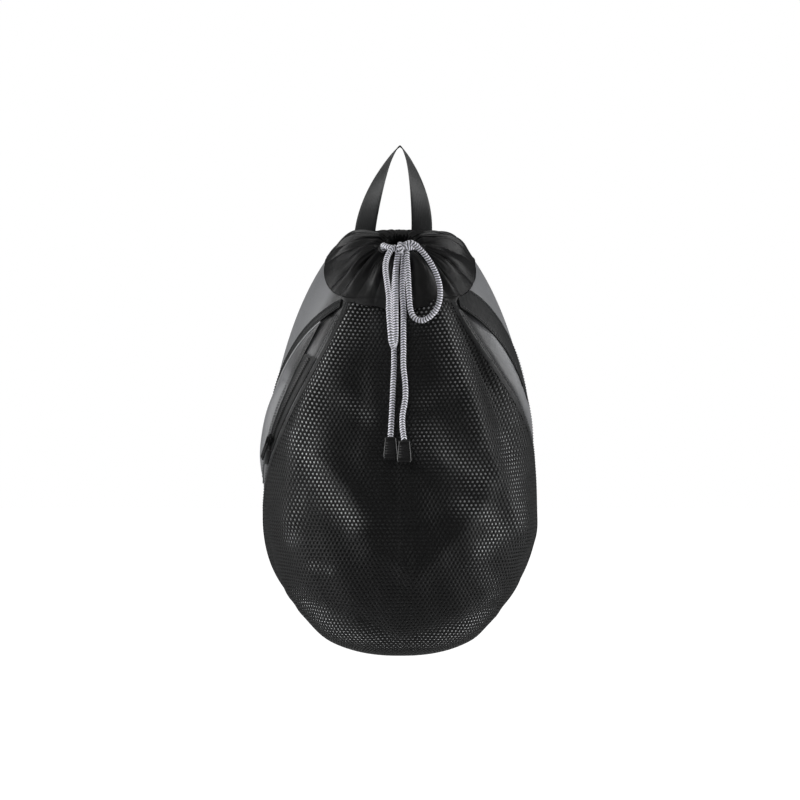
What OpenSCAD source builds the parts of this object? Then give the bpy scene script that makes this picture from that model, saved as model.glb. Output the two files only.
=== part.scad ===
// Mesh ball bag: a drawstring sack worn on the back, hung by its webbing handle.
// Lengths are in millimetres and angles in degrees. The bag is worked out with its lowest
// point at height 0 and its front towards -Y, then hung so that the point where a hook
// carries the handle is the origin. A place on the bag is an angle q, measured from the
// front towards +X, and a height h.

/* [Bag] */
// Width across the widest part
bag_w = 327; // [280:1:392]
// Depth of the front half, from the side seams to the front
front_depth = 125; // [95:1:150]
// Depth of the back half, from the side seams to the back
back_depth = 105; // [80:1:130]
// Height of the bag up to the top of the gathers
bag_h = 509; // [450:1:560]
// Height of the widest part
widest_h = 165; // [130:1:200]
// Roundness of the base, where 2 is an ellipse
base_round = 2.4; // [2:0.1:3.2]

/* [Collar] */
// Height of the collar's lower seam at the front
collar_front_h = 425; // [380:1:440]
// Height of the collar's lower seam at the sides and back
collar_side_h = 475; // [450:1:480]
// Half the width of the drawn-up mouth
mouth_rx = 17; // [12:1:30]
// Half the length of the drawn-up mouth, up the slope
mouth_rz = 9; // [6:1:14]
// Play of the drawstring between the two plies it runs in
channel_play = 1; // [0.8:0.1:3.6]
// Outer diameter of an eyelet
eyelet_d = 13; // [12:0.5:16]

/* [Cloth] */
// Thickness of the mesh
mesh_t = 1.6; // [0.8:0.1:2.4]
// Thickness of the woven cloth
cloth_t = 1.2; // [0.6:0.1:2]
// Thickness of the foam in the back
foam_t = 7; // [4:0.5:12]
// Clearance between two layers of cloth
ply_gap = 0.4; // [0.3:0.05:0.5]
// Width of the black band across the right side
right_band_w = 25; // [15:1:35]
// Width of the black band that shows above the pocket on the left side
left_band_w = 9; // [6:1:14]
// Width of the tape that binds each seam on the inside
seam_tape_w = 16; // [10:1:24]

/* [Pocket] */
// Height of the pocket's lower seam
pocket_low_h = 200; // [180:1:220]
// How far the pocket stands out
pocket_bulge = 5; // [2:0.5:10]
// Diameter of the piping along the top of the pocket
piping_d = 2.4; // [1.6:0.1:3.2]
// Width of the zip's tape
zip_tape_w = 20; // [16:1:26]
// Width of the zip's coil
zip_coil_w = 6; // [4:0.5:8]
// Length of the zip's pull
pull_len = 26; // [16:1:36]

/* [Webbing] */
// Width of the webbing
web_w = 25; // [20:1:32]
// Thickness of the webbing
web_t = 1.4; // [1:0.1:1.4]
// Height of the handle above the gathers
handle_h = 101; // [80:1:140]
// Half the distance between the handle's legs
handle_span = 34; // [28:1:44]

/* [Straps] */
// Width of a shoulder strap's pad
pad_w = 58; // [45:1:70]
// Thickness of a shoulder strap's pad
pad_t = 9; // [6:0.5:14]
// How far a strap stands out from the back
strap_bow = 26; // [14:1:40]

/* [Drawstring] */
// Diameter of the drawstring
cord_d = 6.4; // [5:0.1:6.6]
// Width of a cord end
cord_end_w = 17; // [13:0.5:22]
// Length of a cord end
cord_end_h = 25; // [18:0.5:30]
// Thickness of a cord end
cord_end_t = 9; // [7:0.5:10]

/* [Hidden] */
$fn = 48;

cloth_black = "#1b1b1d";
cloth_grey = "#77787b";
plastic_black = "#111214";
cord_white = "#c9c9d2";

// Where the seams run
crown_h = bag_h + 21 - widest_h;
channel_gap = cord_d + channel_play;
front_seam_top_q = 33;
side_q = 90;
back_seam_q = 130;
gusset_q = 113;
gusset_low_h = 60;
back_low_h = 12;
left_full_h = 165;
right_full_h = 225;
seam_gap_q = 0.1;
mm_per_deg = 2.2;

// The black band runs back and down from the front seam
band_start_q = 36;
band_end_q = 128;
band_drop = 0.55;
band_curve = 1.37;

// The pocket's zip
zip_low_h = 238;
zip_high_h = 350;
zip_margin_q = 5.4;
zip_rest_h = 249;
zip_open_h = 336;
coil_h0 = ply_gap * 2 + 0.6;
coil_t = 1.6;

// ---------------------------------------------------------------- points and directions
function clamp01(t) = min(1, max(0, t));
function mix(a, b, t) = a + (b - a) * t;
function unit(v) = v / norm(v);

// Share of the bag's width and depth that is left at a height z
function share(z) = z > widest_h
    ? sqrt(max(0, 1 - pow((z - widest_h) / crown_h, 2)))
    : pow(max(0, 1 - pow(1 - max(0, z) / widest_h, 2)), 1 / base_round);

// The collar's lower seam rises from the front to the sides
function rim(q) = mix(collar_front_h, collar_side_h,
    (1 - cos(180 * clamp01((abs(q) - 30) / 60))) / 2);

function depth(q) = cos(q) > 0 ? front_depth : back_depth;
function skin(q, h) =
    let (z = h + (rim(q) - collar_front_h) * pow(max(0, h) / collar_front_h, 3))
    [bag_w / 2 * share(z) * sin(q), -depth(q) * share(z) * cos(q), z];

// A point of the skin moved outwards, square to the cloth
function skin_normal(q, h) = h < 0.6 ? [0, 0, -1]
    : unit(cross(skin(q + 0.5, h) - skin(q - 0.5, h), skin(q, h + 0.5) - skin(q, h - 0.5)));
function lifted(q, h, out) = skin(q, h) + out * skin_normal(q, h);

// The point on the outside of the back at a given x and height
function back_at(x, z, out) =
    [x, back_depth * share(z) * sqrt(max(0, 1 - pow(x / (bag_w / 2 * share(z)), 2))) + out, z];

// ---------------------------------------------------------------- seams
function base_seam_q(h) = h <= back_low_h ? 179.9
    : 180 - (180 - gusset_q) * sqrt(1 - pow((gusset_low_h - h) / (gusset_low_h - back_low_h), 2));
function front_seam_q(h, full_h) =
    h >= full_h ? mix(front_seam_top_q, side_q,
        pow(clamp01((collar_front_h - h) / (collar_front_h - full_h)), 1.35))
    : h >= gusset_low_h ? mix(side_q, gusset_q, pow((full_h - h) / (full_h - gusset_low_h), 2))
    : base_seam_q(h);
function back_seam(h) =
    h >= left_full_h ? back_seam_q
    : h >= gusset_low_h ? mix(back_seam_q, gusset_q,
        pow((left_full_h - h) / (left_full_h - gusset_low_h), 2))
    : base_seam_q(h);
function band_h(q) = collar_front_h + 4 - band_drop * pow(q - front_seam_top_q, band_curve);
function band_slope(q) =
    band_drop * band_curve * pow(q - front_seam_top_q, band_curve - 1) / mm_per_deg;
function band_slant(q) = sqrt(1 + pow(band_slope(q), 2));
function band_low_h(q) = band_h(q) - right_band_w / 2 * band_slant(q);
function zip_q(h) = front_seam_q(h, left_full_h) + zip_margin_q;

base_rows = [for (t = [0:15:90]) gusset_low_h - (gusset_low_h - back_low_h) * cos(t)];
function rows_between(low, high, steps) = [for (i = [0:steps]) mix(low, high, i / steps)];
body_rows = rows_between(gusset_low_h + 12, collar_front_h, 18);

// ---------------------------------------------------------------- solids from grids and rings
// A layer of cloth between an outer and an inner grid of points. Rows run up and columns
// run to the right, as seen from outside. Where closed_base is true, the first row is one
// point.
module layer(outer, inner, closed_base = false) {
    m = len(outer) - 1;
    n = len(outer[0]) - 1;
    start = closed_base ? 1 : 0;
    count = (m + 1) * (n + 1);
    function a(i, j) = i * (n + 1) + (i == 0 && closed_base ? 0 : j);
    function b(i, j) = count + a(i, j);
    points = concat([for (row = outer) each row], [for (row = inner) each row]);
    faces = concat(
        [for (i = [0:m - 1], j = [0:n - 1]) [a(i, j), a(i + 1, j), a(i + 1, j + 1)]],
        [for (i = [start:m - 1], j = [0:n - 1]) [a(i, j), a(i + 1, j + 1), a(i, j + 1)]],
        [for (i = [0:m - 1], j = [0:n - 1]) [b(i, j), b(i + 1, j + 1), b(i + 1, j)]],
        [for (i = [start:m - 1], j = [0:n - 1]) [b(i, j), b(i, j + 1), b(i + 1, j + 1)]],
        [for (i = [0:m - 1]) [a(i + 1, 0), a(i, 0), b(i, 0), b(i + 1, 0)]],
        [for (i = [0:m - 1]) [a(i, n), a(i + 1, n), b(i + 1, n), b(i, n)]],
        closed_base ? [] : [for (j = [0:n - 1]) [a(0, j), a(0, j + 1), b(0, j + 1), b(0, j)]],
        [for (j = [0:n - 1]) [a(m, j + 1), a(m, j), b(m, j), b(m, j + 1)]]
    );
    polyhedron(points, faces, convexity = 10);
}

// A panel on the skin between two seams, given as functions of the height
module panel(rows, q0, q1, columns, inner, outer, closed_base = false) {
    grid = function(out)
        [for (h = rows) [for (j = [0:columns]) lifted(mix(q0(h), q1(h), j / columns), h, out)]];
    layer(grid(outer), grid(inner), closed_base);
}

// A solid through a row of closed rings with equal numbers of points. The two halves of a
// ring are cut along opposite diagonals, so a thin twisted ribbon keeps its thickness.
module rings_solid(rings) {
    n = len(rings[0]);
    last = len(rings) - 1;
    points = [for (ring = rings) each ring];
    function a(i, j) = i * n + j % n;
    faces = concat(
        [[for (j = [0:n - 1]) j]],
        [for (i = [0:last - 1], j = [0:n - 1])
            j < n / 2 ? [a(i, j), a(i + 1, j), a(i + 1, j + 1)] : [a(i, j), a(i + 1, j), a(i, j + 1)]],
        [for (i = [0:last - 1], j = [0:n - 1])
            j < n / 2 ? [a(i, j), a(i + 1, j + 1), a(i, j + 1)]
                : [a(i + 1, j), a(i + 1, j + 1), a(i, j + 1)]],
        [[for (j = [n - 1:-1:0]) last * n + j]]
    );
    polyhedron(points, faces, convexity = 10);
}

function direction(points, i) =
    unit(points[min(i + 1, len(points) - 1)] - points[max(i - 1, 0)]);

// A flat ribbon along points; each row of the ribbon has its own direction across
module ribbon(points, across, width, thick) {
    rings_solid([for (i = [0:len(points) - 1])
        let (
            t = direction(points, i),
            w = width / 2 * across[i],
            u = thick / 2 * unit(cross(t, across[i]))
        )
        [points[i] - w - u, points[i] + w - u, points[i] + w + u, points[i] - w + u]]);
}

// A round cord along points, with rings square to its route
function ring_frames(points, i = 0, side = [1, 0.2, 0]) = i == len(points) ? []
    : let (t = direction(points, i), s = unit(side - (side * t) * t))
    concat([[t, s]], ring_frames(points, i + 1, s));
module cord(points, sides = 8) {
    frames = ring_frames(points);
    rings_solid([for (i = [0:len(points) - 1])
        let (s = frames[i][1], u = cross(frames[i][0], s))
        [for (k = [0:sides - 1])
            points[i] + cord_d / 2 * (cos(360 * k / sides) * s + sin(360 * k / sides) * u)]]);
}

// Children drawn with X across, Y along and Z out of a surface
module on_frame(origin, across, along, out) {
    multmatrix([
        [across[0], along[0], out[0], origin[0]],
        [across[1], along[1], out[1], origin[1]],
        [across[2], along[2], out[2], origin[2]],
        [0, 0, 0, 1]
    ])
    children();
}

// ---------------------------------------------------------------- body of the bag
module mesh_panel() {
    rows = concat([0, 3, 7], base_rows, body_rows);
    color(cloth_black)
    panel(rows, function(h) -front_seam_q(h, left_full_h) + seam_gap_q,
        function(h) front_seam_q(h, right_full_h) - seam_gap_q, 48, -mesh_t, 0, true);
}

module side_panel(full_h) {
    color(cloth_grey)
    panel(body_rows, function(h) front_seam_q(h, full_h) + seam_gap_q,
        function(h) back_seam(h) - seam_gap_q, 16, -cloth_t, 0);
}

module back_panel() {
    rows = concat([for (i = [1:6]) base_rows[i]], body_rows);
    color(cloth_black)
    panel(rows, function(h) back_seam(h) + seam_gap_q,
        function(h) 360 - back_seam(h) - seam_gap_q, 16, -cloth_t, 0);
}

foam_outer = -cloth_t - 1.8 * ply_gap;
module back_foam() {
    color("#9a9a94")
    panel(rows_between(95, collar_front_h - 16, 10), function(h) 142, function(h) 218, 12,
        foam_outer - foam_t, foam_outer);
}

lining_outer = foam_outer - foam_t - 1.5 * ply_gap;
module back_lining() {
    color(cloth_black)
    panel(rows_between(88, collar_front_h - 9, 10), function(h) 140, function(h) 220, 12,
        lining_outer - cloth_t, lining_outer);
}

module seam_tape(seam) {
    half_q = seam_tape_w / 2 / mm_per_deg;
    out = -mesh_t - 1.8 * ply_gap;
    color(cloth_black)
    panel(rows_between(gusset_low_h + 40, collar_front_h - 6, 14),
        function(h) seam(h) - half_q, function(h) seam(h) + half_q, 2, out - cloth_t, out);
}

// Both bands share their lower edge
module band(width) {
    columns = 24;
    grid = function(out) [for (share_up = [0, 0.5, 1]) [for (j = [0:columns])
        let (q = mix(band_start_q, band_end_q, j / columns))
        lifted(q, band_low_h(q) + share_up * width * band_slant(q), out)]];
    color(cloth_black)
    layer(grid(ply_gap + cloth_t), grid(ply_gap));
}

// ---------------------------------------------------------------- pocket and zip
pocket_back_q = 103;
pocket_front_q = zip_q(zip_high_h + 40) + zip_tape_w / 2 / mm_per_deg + 0.4;
function pocket_top_h(q) = band_low_h(q) - (piping_d + 1) * band_slant(q);
function pocket_point(u, v, out) =
    let (
        front_h = mix(pocket_low_h, pocket_top_h(pocket_front_q), v),
        front_q = min(zip_q(front_h) + zip_tape_w / 2 / mm_per_deg + 0.4, 200),
        h = mix(pocket_low_h, pocket_top_h(mix(pocket_front_q, pocket_back_q, u)), v)
    )
    lifted(mix(front_q, pocket_back_q, u), h,
        out + ply_gap + pocket_bulge * sin(180 * u) * sin(180 * v));

module pocket_panel() {
    grid = function(out) [for (i = [0:12]) [for (j = [0:10]) pocket_point(j / 10, i / 12, out)]];
    color(cloth_grey)
    mirror([1, 0, 0])
    layer(grid(cloth_t), grid(0));
}

module pocket_piping() {
    points = [for (j = [0:16])
        let (
            q = mix(pocket_front_q, pocket_back_q - 1, j / 16),
            h = pocket_top_h(q) + (piping_d / 2 + 0.6) * band_slant(q)
        )
        lifted(q, h, ply_gap + piping_d / 2)];
    frames = ring_frames(points);
    color("#a5a6a8")
    mirror([1, 0, 0])
    rings_solid([for (i = [0:len(points) - 1])
        let (s = frames[i][1], u = cross(frames[i][0], s))
        [for (k = [0:5]) points[i] + piping_d / 2 * (cos(60 * k) * s + sin(60 * k) * u)]]);
}

module zip_strip(low_h, high_h, width, inner, outer, steps) {
    half_q = width / 2 / mm_per_deg;
    mirror([1, 0, 0])
    panel(rows_between(low_h, high_h, steps), function(h) zip_q(h) - half_q,
        function(h) zip_q(h) + half_q, 2, inner, outer);
}
module zip_tape() color(cloth_black)
    zip_strip(zip_low_h, zip_high_h, zip_tape_w, ply_gap, ply_gap + 0.6, 14);
module zip_coil() color(plastic_black)
    zip_strip(zip_low_h + 2, zip_high_h - 1, zip_coil_w, coil_h0, coil_h0 + coil_t, 14);
module zip_end_tab() color(cloth_black)
    zip_strip(zip_low_h - 16, zip_low_h - 0.6, zip_tape_w - 4, ply_gap, ply_gap + 1.4, 3);

// The zip runs along an arc of a circle, found from three points of it
function mirrored(p) = [-p[0], p[1], p[2]];
function zip_point(h) = mirrored(lifted(zip_q(h), h, coil_h0 + coil_t));
arc_a = zip_point(zip_rest_h);
arc_b = zip_point((zip_rest_h + zip_open_h) / 2);
arc_c = zip_point(zip_open_h);
arc_ab = arc_b - arc_a;
arc_ac = arc_c - arc_a;
arc_n = cross(arc_ab, arc_ac);
arc_centre = arc_a + (cross(arc_n, arc_ab) * (arc_ac * arc_ac)
    + cross(arc_ac, arc_n) * (arc_ab * arc_ab)) / (2 * arc_n * arc_n);
arc_axis = unit(arc_n);
arc_travel = acos(unit(arc_a - arc_centre) * unit(arc_c - arc_centre));

slider_along = unit(cross(arc_axis, arc_a - arc_centre));
slider_out_raw = mirrored(skin_normal(zip_q(zip_rest_h), zip_rest_h));
slider_out = unit(slider_out_raw - (slider_out_raw * slider_along) * slider_along);
slider_across = cross(slider_along, slider_out);
slider_len = 11;
slider_clear = 0.9;
plate_t = 1.2;
flange_t = 1;
flange_low = -0.6;
slider_inner_w = zip_coil_w + 2 * slider_clear + 0.4;
bail_w = 2.4;
bail_len = 8;
bail_gap = 2.4;
pin_d = 1.5;
pull_w = 8;
pull_t = 1.4;
pull_pin_out = slider_clear + plate_t + bail_gap / 2;

module zip_slider() {
    color(plastic_black)
    on_frame(arc_a, slider_across, slider_along, slider_out) {
        translate([-slider_inner_w / 2 - flange_t, -slider_len / 2, slider_clear])
            cube([slider_inner_w + 2 * flange_t, slider_len, plate_t]);
        for (side = [-1, 1])
            translate([side * (slider_inner_w + flange_t) / 2 - flange_t / 2, -slider_len / 2,
                flange_low])
                cube([flange_t, slider_len, slider_clear + plate_t / 2 - flange_low]);
        for (end = [-1, 1])
            translate([-bail_w / 2, end * (bail_len - 1) / 2 - 0.5, slider_clear + plate_t / 2])
                cube([bail_w, 1, bail_gap + plate_t]);
        translate([-bail_w / 2, -bail_len / 2, slider_clear + plate_t + bail_gap])
            cube([bail_w, bail_len, 1]);
    }
}

// The pull's pin turns under the slider's bail, and its tab lies down along the zip
module zip_pull() {
    frame_w = (pull_w - bail_w - 1.6) / 2;
    color(plastic_black)
    on_frame(arc_a + pull_pin_out * slider_out, slider_across, slider_along, slider_out) {
        translate([-pull_w / 2, 0, 0])
            rotate([0, 90, 0])
            cylinder(d = pin_d, h = pull_w);
        for (side = [-1, 1])
            translate([side * (pull_w - frame_w) / 2 - frame_w / 2, -8.4, -pull_t / 2])
                cube([frame_w, 8.4, pull_t]);
        translate([-pull_w / 2, -pull_len, -pull_t / 2])
            cube([pull_w, pull_len - 8, pull_t]);
    }
}

// ---------------------------------------------------------------- collar and drawstring
// The collar closes over the top as a dome seen from a point inside the bag
dome_eye = [0, 0, 400];
dome_sharp = 10;
function dome(dir, out) =
    let (
        d = unit(dir),
        b = d[1] < 0 ? front_depth : back_depth,
        ka = pow(d[0] * 2 / bag_w, 2) + pow(d[1] / b, 2) + pow(d[2] / crown_h, 2),
        lift = dome_eye[2] - widest_h,
        kb = 2 * lift * d[2] / pow(crown_h, 2),
        kc = pow(lift / crown_h, 2) - 1,
        side = (-kb + sqrt(kb * kb - 4 * ka * kc)) / (2 * ka),
        top = d[2] > 0.05 ? (bag_h - dome_eye[2]) / d[2] : 1e6
    )
    dome_eye + d * (pow(pow(side, -dome_sharp) + pow(top, -dome_sharp), -1 / dome_sharp) + out);

// The mouth faces forwards and up
mouth_tilt = 47;
mouth_dir = [0, -0.5, 0.85];
mouth_at = dome(mouth_dir, 0);
mouth_up = [0, cos(mouth_tilt), sin(mouth_tilt)];
function mouth_dir_at(q, rx, rz) = mouth_at + [rx * sin(q), 0, 0] - rz * cos(q) * mouth_up - dome_eye;
function mouth_point(q, rx, rz, out) = dome(mouth_dir_at(q, rx, rz), out);

module collar_shell(low, high, inner, outer, rows, q0, q1, columns) {
    grid = function(out) [for (i = [0:rows]) [for (j = [0:columns])
        let (
            q = mix(q0, q1, j / columns),
            edge = skin(q, collar_front_h) - dome_eye,
            hole = mouth_dir_at(q, mouth_rx, mouth_rz)
        )
        dome(mix(edge, hole, mix(low, high, i / rows)), out)]];
    layer(grid(outer), grid(inner));
}

eyelet_q = 54;
channel_rx = mouth_rx + 7;
channel_rz = mouth_rz + 7;
function eyelet_point(side, out) = mouth_point(side * eyelet_q, channel_rx, channel_rz, out);
module at_eyelet(side) {
    p = eyelet_point(side, 0);
    out = unit(cross(mouth_point(side * eyelet_q + 2, channel_rx, channel_rz, 0) - p,
        mouth_point(side * eyelet_q, channel_rx - 2, channel_rz - 2, 0) - p));
    along = unit(cross(out, [1, 0, 0]));
    on_frame(p, cross(along, out), along, out)
    children();
}

// Each half of the collar is a shell, and the two meet at the back and the front
module collar() {
    color(cloth_black)
    difference() {
        union() {
            collar_shell(0.007, 1, -cloth_t, 0, 7, -180, 0, 32);
            collar_shell(0.007, 1, -cloth_t, 0, 7, 0, 180, 32);
        }
        for (side = [-1, 1])
            at_eyelet(side)
            translate([0, 0, -4])
            cylinder(d = eyelet_d - 4.4, h = 8);
    }
}

channel_mid = -cloth_t - channel_gap / 2;
module collar_facing() {
    color(cloth_black)
    collar_shell(0.72, 1, -2 * cloth_t - channel_gap, -cloth_t - channel_gap, 3, -179.9, 179.9, 32);
}

module eyelet(side) {
    color(plastic_black)
    at_eyelet(side)
    translate([0, 0, ply_gap + 0.1])
    difference() {
        cylinder(d = eyelet_d, h = 1);
        translate([0, 0, -1])
            cylinder(d = eyelet_d - 4.6, h = 3);
    }
}

// Places drawn by hand for a bag of the home size; placed() moves them with the mouth and the skin
home_crown_h = 365;
home_front_depth = 125;
home_widest_h = 165;
home_cord_d = 6.4;
home_mouth_z = 491.3697;
function front_reach(z, depth, widest, crown) =
    depth * sqrt(max(0, 1 - pow((z - widest) / crown, 2)));
function placed(p, side = 0) =
    let (z = p[2] + mouth_at[2] - home_mouth_z)
    [p[0] + side * (cord_d - home_cord_d) / 2,
        p[1] - front_reach(z, front_depth, widest_h, crown_h)
            + front_reach(p[2], home_front_depth, home_widest_h, home_crown_h), z];
knot_at = placed([2, -81, 482]);
knot_r = 9;
module drawstring_run() {
    inside = [for (q = [eyelet_q:18:360 - eyelet_q])
        mouth_point(-q, channel_rx, channel_rz, channel_mid)];
    left_out = eyelet_point(-1, 5);
    right_out = eyelet_point(1, 5);
    color(cord_white)
    cord(concat([knot_at + [-3, 4, 0], mix(left_out, knot_at, 0.35) + [-3, -1, 0], left_out],
        inside,
        [right_out, mix(right_out, knot_at, 0.35) + [3, -1, 0], knot_at + [3, 4, 0]]));
}

module drawstring_knot() {
    color(cord_white)
    translate(knot_at)
    sphere(r = knot_r);
}

// Routes of the free cords, in the bag's own heights, chosen by hand
left_loop_route = [
    [-5, -84, 484], [-11, -88, 480], [-16, -94, 469], [-17, -102, 456], [-15, -111, 441],
    [-13, -119, 425], [-13, -126, 409], [-12, -131, 395], [-11, -133, 383], [-10, -130, 373],
    [-8, -124, 368], [-6, -118, 371], [-5, -114, 382], [-5, -111, 398], [-5, -105, 415],
    [-5, -99, 434], [-5, -92, 451], [-4, -88, 466], [-2, -86, 477]
];
right_loop_route = [
    [7, -84, 488], [14, -85, 489], [23, -84, 482], [33, -85, 470], [41, -87, 456],
    [46, -91, 441], [47, -95, 427], [44, -99, 414], [37, -102, 404], [27, -104, 398],
    [18, -105, 400], [13, -105, 408], [11, -103, 422], [10, -99, 440], [9, -93, 458],
    [8, -88, 470], [8, -86, 479]
];
left_end_route = [
    [-1, -77, 476], [-4, -80, 464], [-6, -85, 448], [-7, -92, 428], [-7, -98, 408],
    [-7, -104, 388], [-7, -109, 366], [-7, -114, 344], [-8, -119, 322], [-9, -122, 300],
    [-10, -125, 280], [-11, -128, 262]
];
right_end_route = [
    [5, -80, 475], [4, -83, 463], [3, -88, 446], [3, -94, 428], [4, -100, 408],
    [4, -106, 388], [4, -111, 366], [4, -116, 344], [6, -120, 324], [6, -123, 306],
    [3, -127, 288], [3, -132, 272], [5, -138, 258]
];

left_loop_line = [for (p = left_loop_route) placed(p)];
right_loop_line = [for (p = right_loop_route) placed(p)];
left_end_line = [for (p = left_end_route) placed(p, -1)];
right_end_line = [for (p = right_end_route) placed(p, 1)];

// A cord end is crimped on the cord's last point, wider at the bottom
module cord_end(route) {
    top = route[len(route) - 1];
    levels = [[0, 0.78], [-2, 0.84], [1 - cord_end_h, 1], [-cord_end_h, 0.94]];
    color(plastic_black)
    hull() {
        for (level = levels)
            translate(top + [0, 0, level[0]])
                linear_extrude(0.01)
                offset(r = 1.5, $fn = 16)
                square([cord_end_w * level[1] - 3, cord_end_t * level[1] - 3], center = true);
    }
}

// ---------------------------------------------------------------- handle
handle_x = -8;
handle_peak_y = 26;
handle_foot_z = bag_h - 2;
handle_foot_y = 34;
handle_tab_gap = 0.95;
handle_pin_gap = 0.15;
twist_power = 1.1;
function handle_leg(side, t) = [
    mix(handle_x, 0, t) + side * handle_span * pow(1 - pow(t, 1.6), 0.75),
    mix(handle_foot_y, handle_peak_y, t),
    mix(handle_foot_z, bag_h + handle_h - web_t / 2, t)
];
function handle_across(side, t) =
    let (turn = 90 * pow(t, twist_power))
    [cos(turn), side * sin(turn), 0];
leg_steps = [0, 0.08, 0.17, 0.26, 0.35, 0.44, 0.53, 0.62, 0.71, 0.79, 0.86, 0.92, 0.975];

module handle() {
    last = len(leg_steps) - 1;
    peak = handle_leg(1, 1);
    color(cloth_black)
    ribbon(
        concat([for (t = leg_steps) handle_leg(-1, t)], [peak],
            [for (i = [last:-1:0]) handle_leg(1, leg_steps[i])]),
        concat([for (t = leg_steps) handle_across(-1, t)], [[0, -1, 0]],
            [for (i = [last:-1:0]) -handle_across(1, leg_steps[i])]),
        web_w, web_t);
}

// A leg's lower end, sewn flat on the back; its inner edge lies closest to the cloth
module handle_tab(side) {
    x = handle_x + side * handle_span;
    inner_x = max(0, abs(x) - web_w / 2);
    points = concat(
        [for (z = [handle_foot_z - 31, handle_foot_z - 24, handle_foot_z - 16])
            [x, back_at(inner_x, z, ply_gap * 2.5 + cloth_t + web_t)[1], z]],
        [[x, handle_foot_y, handle_foot_z - 6], [x, handle_foot_y, handle_foot_z - handle_tab_gap]]);
    color(cloth_black)
    ribbon(points, [for (p = points) [1, 0, 0]], web_w, web_t);
}

// ---------------------------------------------------------------- shoulder straps
strap_top_x = 44;
strap_top_z = 452;
strap_low_x = 92;
strap_low_z = 88;
strap_run = strap_top_z - strap_low_z;
strap_end_gap = 0.7;
lock_gap = 0.4;
pad_start = 0.004;
pad_share = 0.66;
tongue_w = 18;
yoke_low_h = collar_front_h - 30;
yoke_q = 150;
anchor_q = 133;
anchor_low_h = 56;
anchor_high_h = 84;
lock_len = 26;
lock_w = 36;
lock_t = 5;

// A place on the strap's middle line, where the share s runs from its top to its low end
function strap_point(s) =
    let (
        x = mix(strap_top_x, strap_low_x, s),
        z = mix(strap_top_z, strap_low_z, s),
        seat = cloth_t + 2 * ply_gap + mix(pad_t / 2 + 6.5, web_t / 2 + 4, s)
    )
    back_at(x, z, seat + strap_bow * sin(180 * pow(s, 0.8)));
function strap_dir(s) = unit(strap_point(s + 0.01) - strap_point(s));
strap_chord = unit(strap_point(1) - strap_point(0));
function side_of(dir) = unit([1, 0, 0] - dir[0] * dir);
function back_across(p) =
    unit(back_at(p[0] + web_w / 2, p[2], 0) - back_at(p[0] - web_w / 2, p[2], 0));
function pad_width(s) = pad_w * pow(max(0.02, 1 - pow(abs(2 * s / pad_share - 1), 7)), 0.5);

// The yoke's two tongues run down and out to the upper ends of the straps
module strap_yoke() {
    end = strap_point(pad_start) - strap_end_gap * strap_chord;
    points = [
        back_at(end[0] - 2.4, end[2] + 18, ply_gap + cloth_t),
        back_at(end[0] - 1.4, end[2] + 11, 2 * (ply_gap + cloth_t)),
        end + [-0.5, -3.5, 4],
        end
    ];
    across = [back_across(points[0]), back_across(points[1]),
        unit(back_across(points[2]) + side_of(strap_chord)), side_of(strap_chord)];
    color(cloth_black) {
        panel(rows_between(yoke_low_h, collar_front_h - 3, 2), function(h) yoke_q,
            function(h) 360 - yoke_q, 8, ply_gap, ply_gap + cloth_t);
        for (mirrored = [0, 1])
            mirror([mirrored, 0, 0])
            ribbon(points, across, tongue_w, web_t);
    }
}

// The anchor's tongue runs up and out to the lower end of the strap
module strap_anchor() {
    end = strap_point(1) + strap_end_gap * strap_dir(0.99);
    points = [
        end,
        end + [0.4, -2, -4.5],
        back_at(end[0] + 1, end[2] - 12, 1.4 * (ply_gap + cloth_t)),
        back_at(end[0] + 1.5, end[2] - 22, ply_gap + cloth_t)
    ];
    color(cloth_black) {
        panel(rows_between(anchor_low_h, anchor_high_h, 3), function(h) anchor_q,
            function(h) anchor_q + 15, 4, ply_gap, ply_gap + cloth_t);
        ribbon(points, [for (p = points) back_across(p)], tongue_w, web_t);
    }
}

module strap_pad() {
    steps = 14;
    rings = [for (i = [0:steps])
        let (
            s = mix(pad_start, pad_share, i / steps),
            w = max(pad_width(s), web_w + 6) / 2,
            p = strap_point(s),
            dir = i == 0 ? strap_chord : strap_dir(s),
            side = side_of(dir),
            up = cross(dir, side) * pad_t / 2,
            e = w - 3
        )
        [p - w * side, p - e * side - up, p + e * side - up, p + w * side, p + e * side + up,
            p - e * side + up]];
    color(cloth_black)
    rings_solid(rings);
}

lock_step = (lock_len / 2 + lock_gap) / strap_run;
lock_s = pad_share + lock_step;
lock_at = strap_point(lock_s);
lock_along = -strap_dir(lock_s - 0.005);
lock_side = side_of(lock_along);
lock_out = cross(lock_side, lock_along);

// Three bars that the webbing is threaded round
module ladder_lock() {
    slot_w = web_w + 2;
    color(plastic_black)
    on_frame(lock_at, -lock_side, lock_along, -lock_out)
    difference() {
        translate([-lock_w / 2, -lock_len / 2, -lock_t / 2])
            cube([lock_w, lock_len, lock_t]);
        for (y = [-7.4, 0, 7.4])
            translate([-slot_w / 2, y - 2.2, -lock_t])
                cube([slot_w, 4.4, 2 * lock_t]);
    }
}

// The webbing comes up from the anchor to the lock, and its tail hangs from the lock
module strap_webbing() {
    steps = 10;
    run = [for (i = [0:steps]) strap_point(mix(lock_s + lock_step, 1, i / steps))];
    run_across = [for (i = [0:steps]) unit(mix(lock_side, back_across(run[i]), i / steps))];
    tail_out = (lock_t + web_t) / 2 + 0.5;
    tail = [for (i = [0:6])
        lock_at - lock_out * (tail_out + 0.1 * i * i) - lock_along * i * 12];
    color(cloth_black) {
        ribbon(run, run_across, web_w, web_t);
        ribbon(tail, [for (p = tail) lock_side], web_w, web_t);
    }
}

// ---------------------------------------------------------------- the bag as it hangs
hook_z = bag_h + handle_h - web_t;
module hung() {
    translate([0, -handle_peak_y, -hook_z])
    children();
}
module left() mirror([1, 0, 0]) children();

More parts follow.
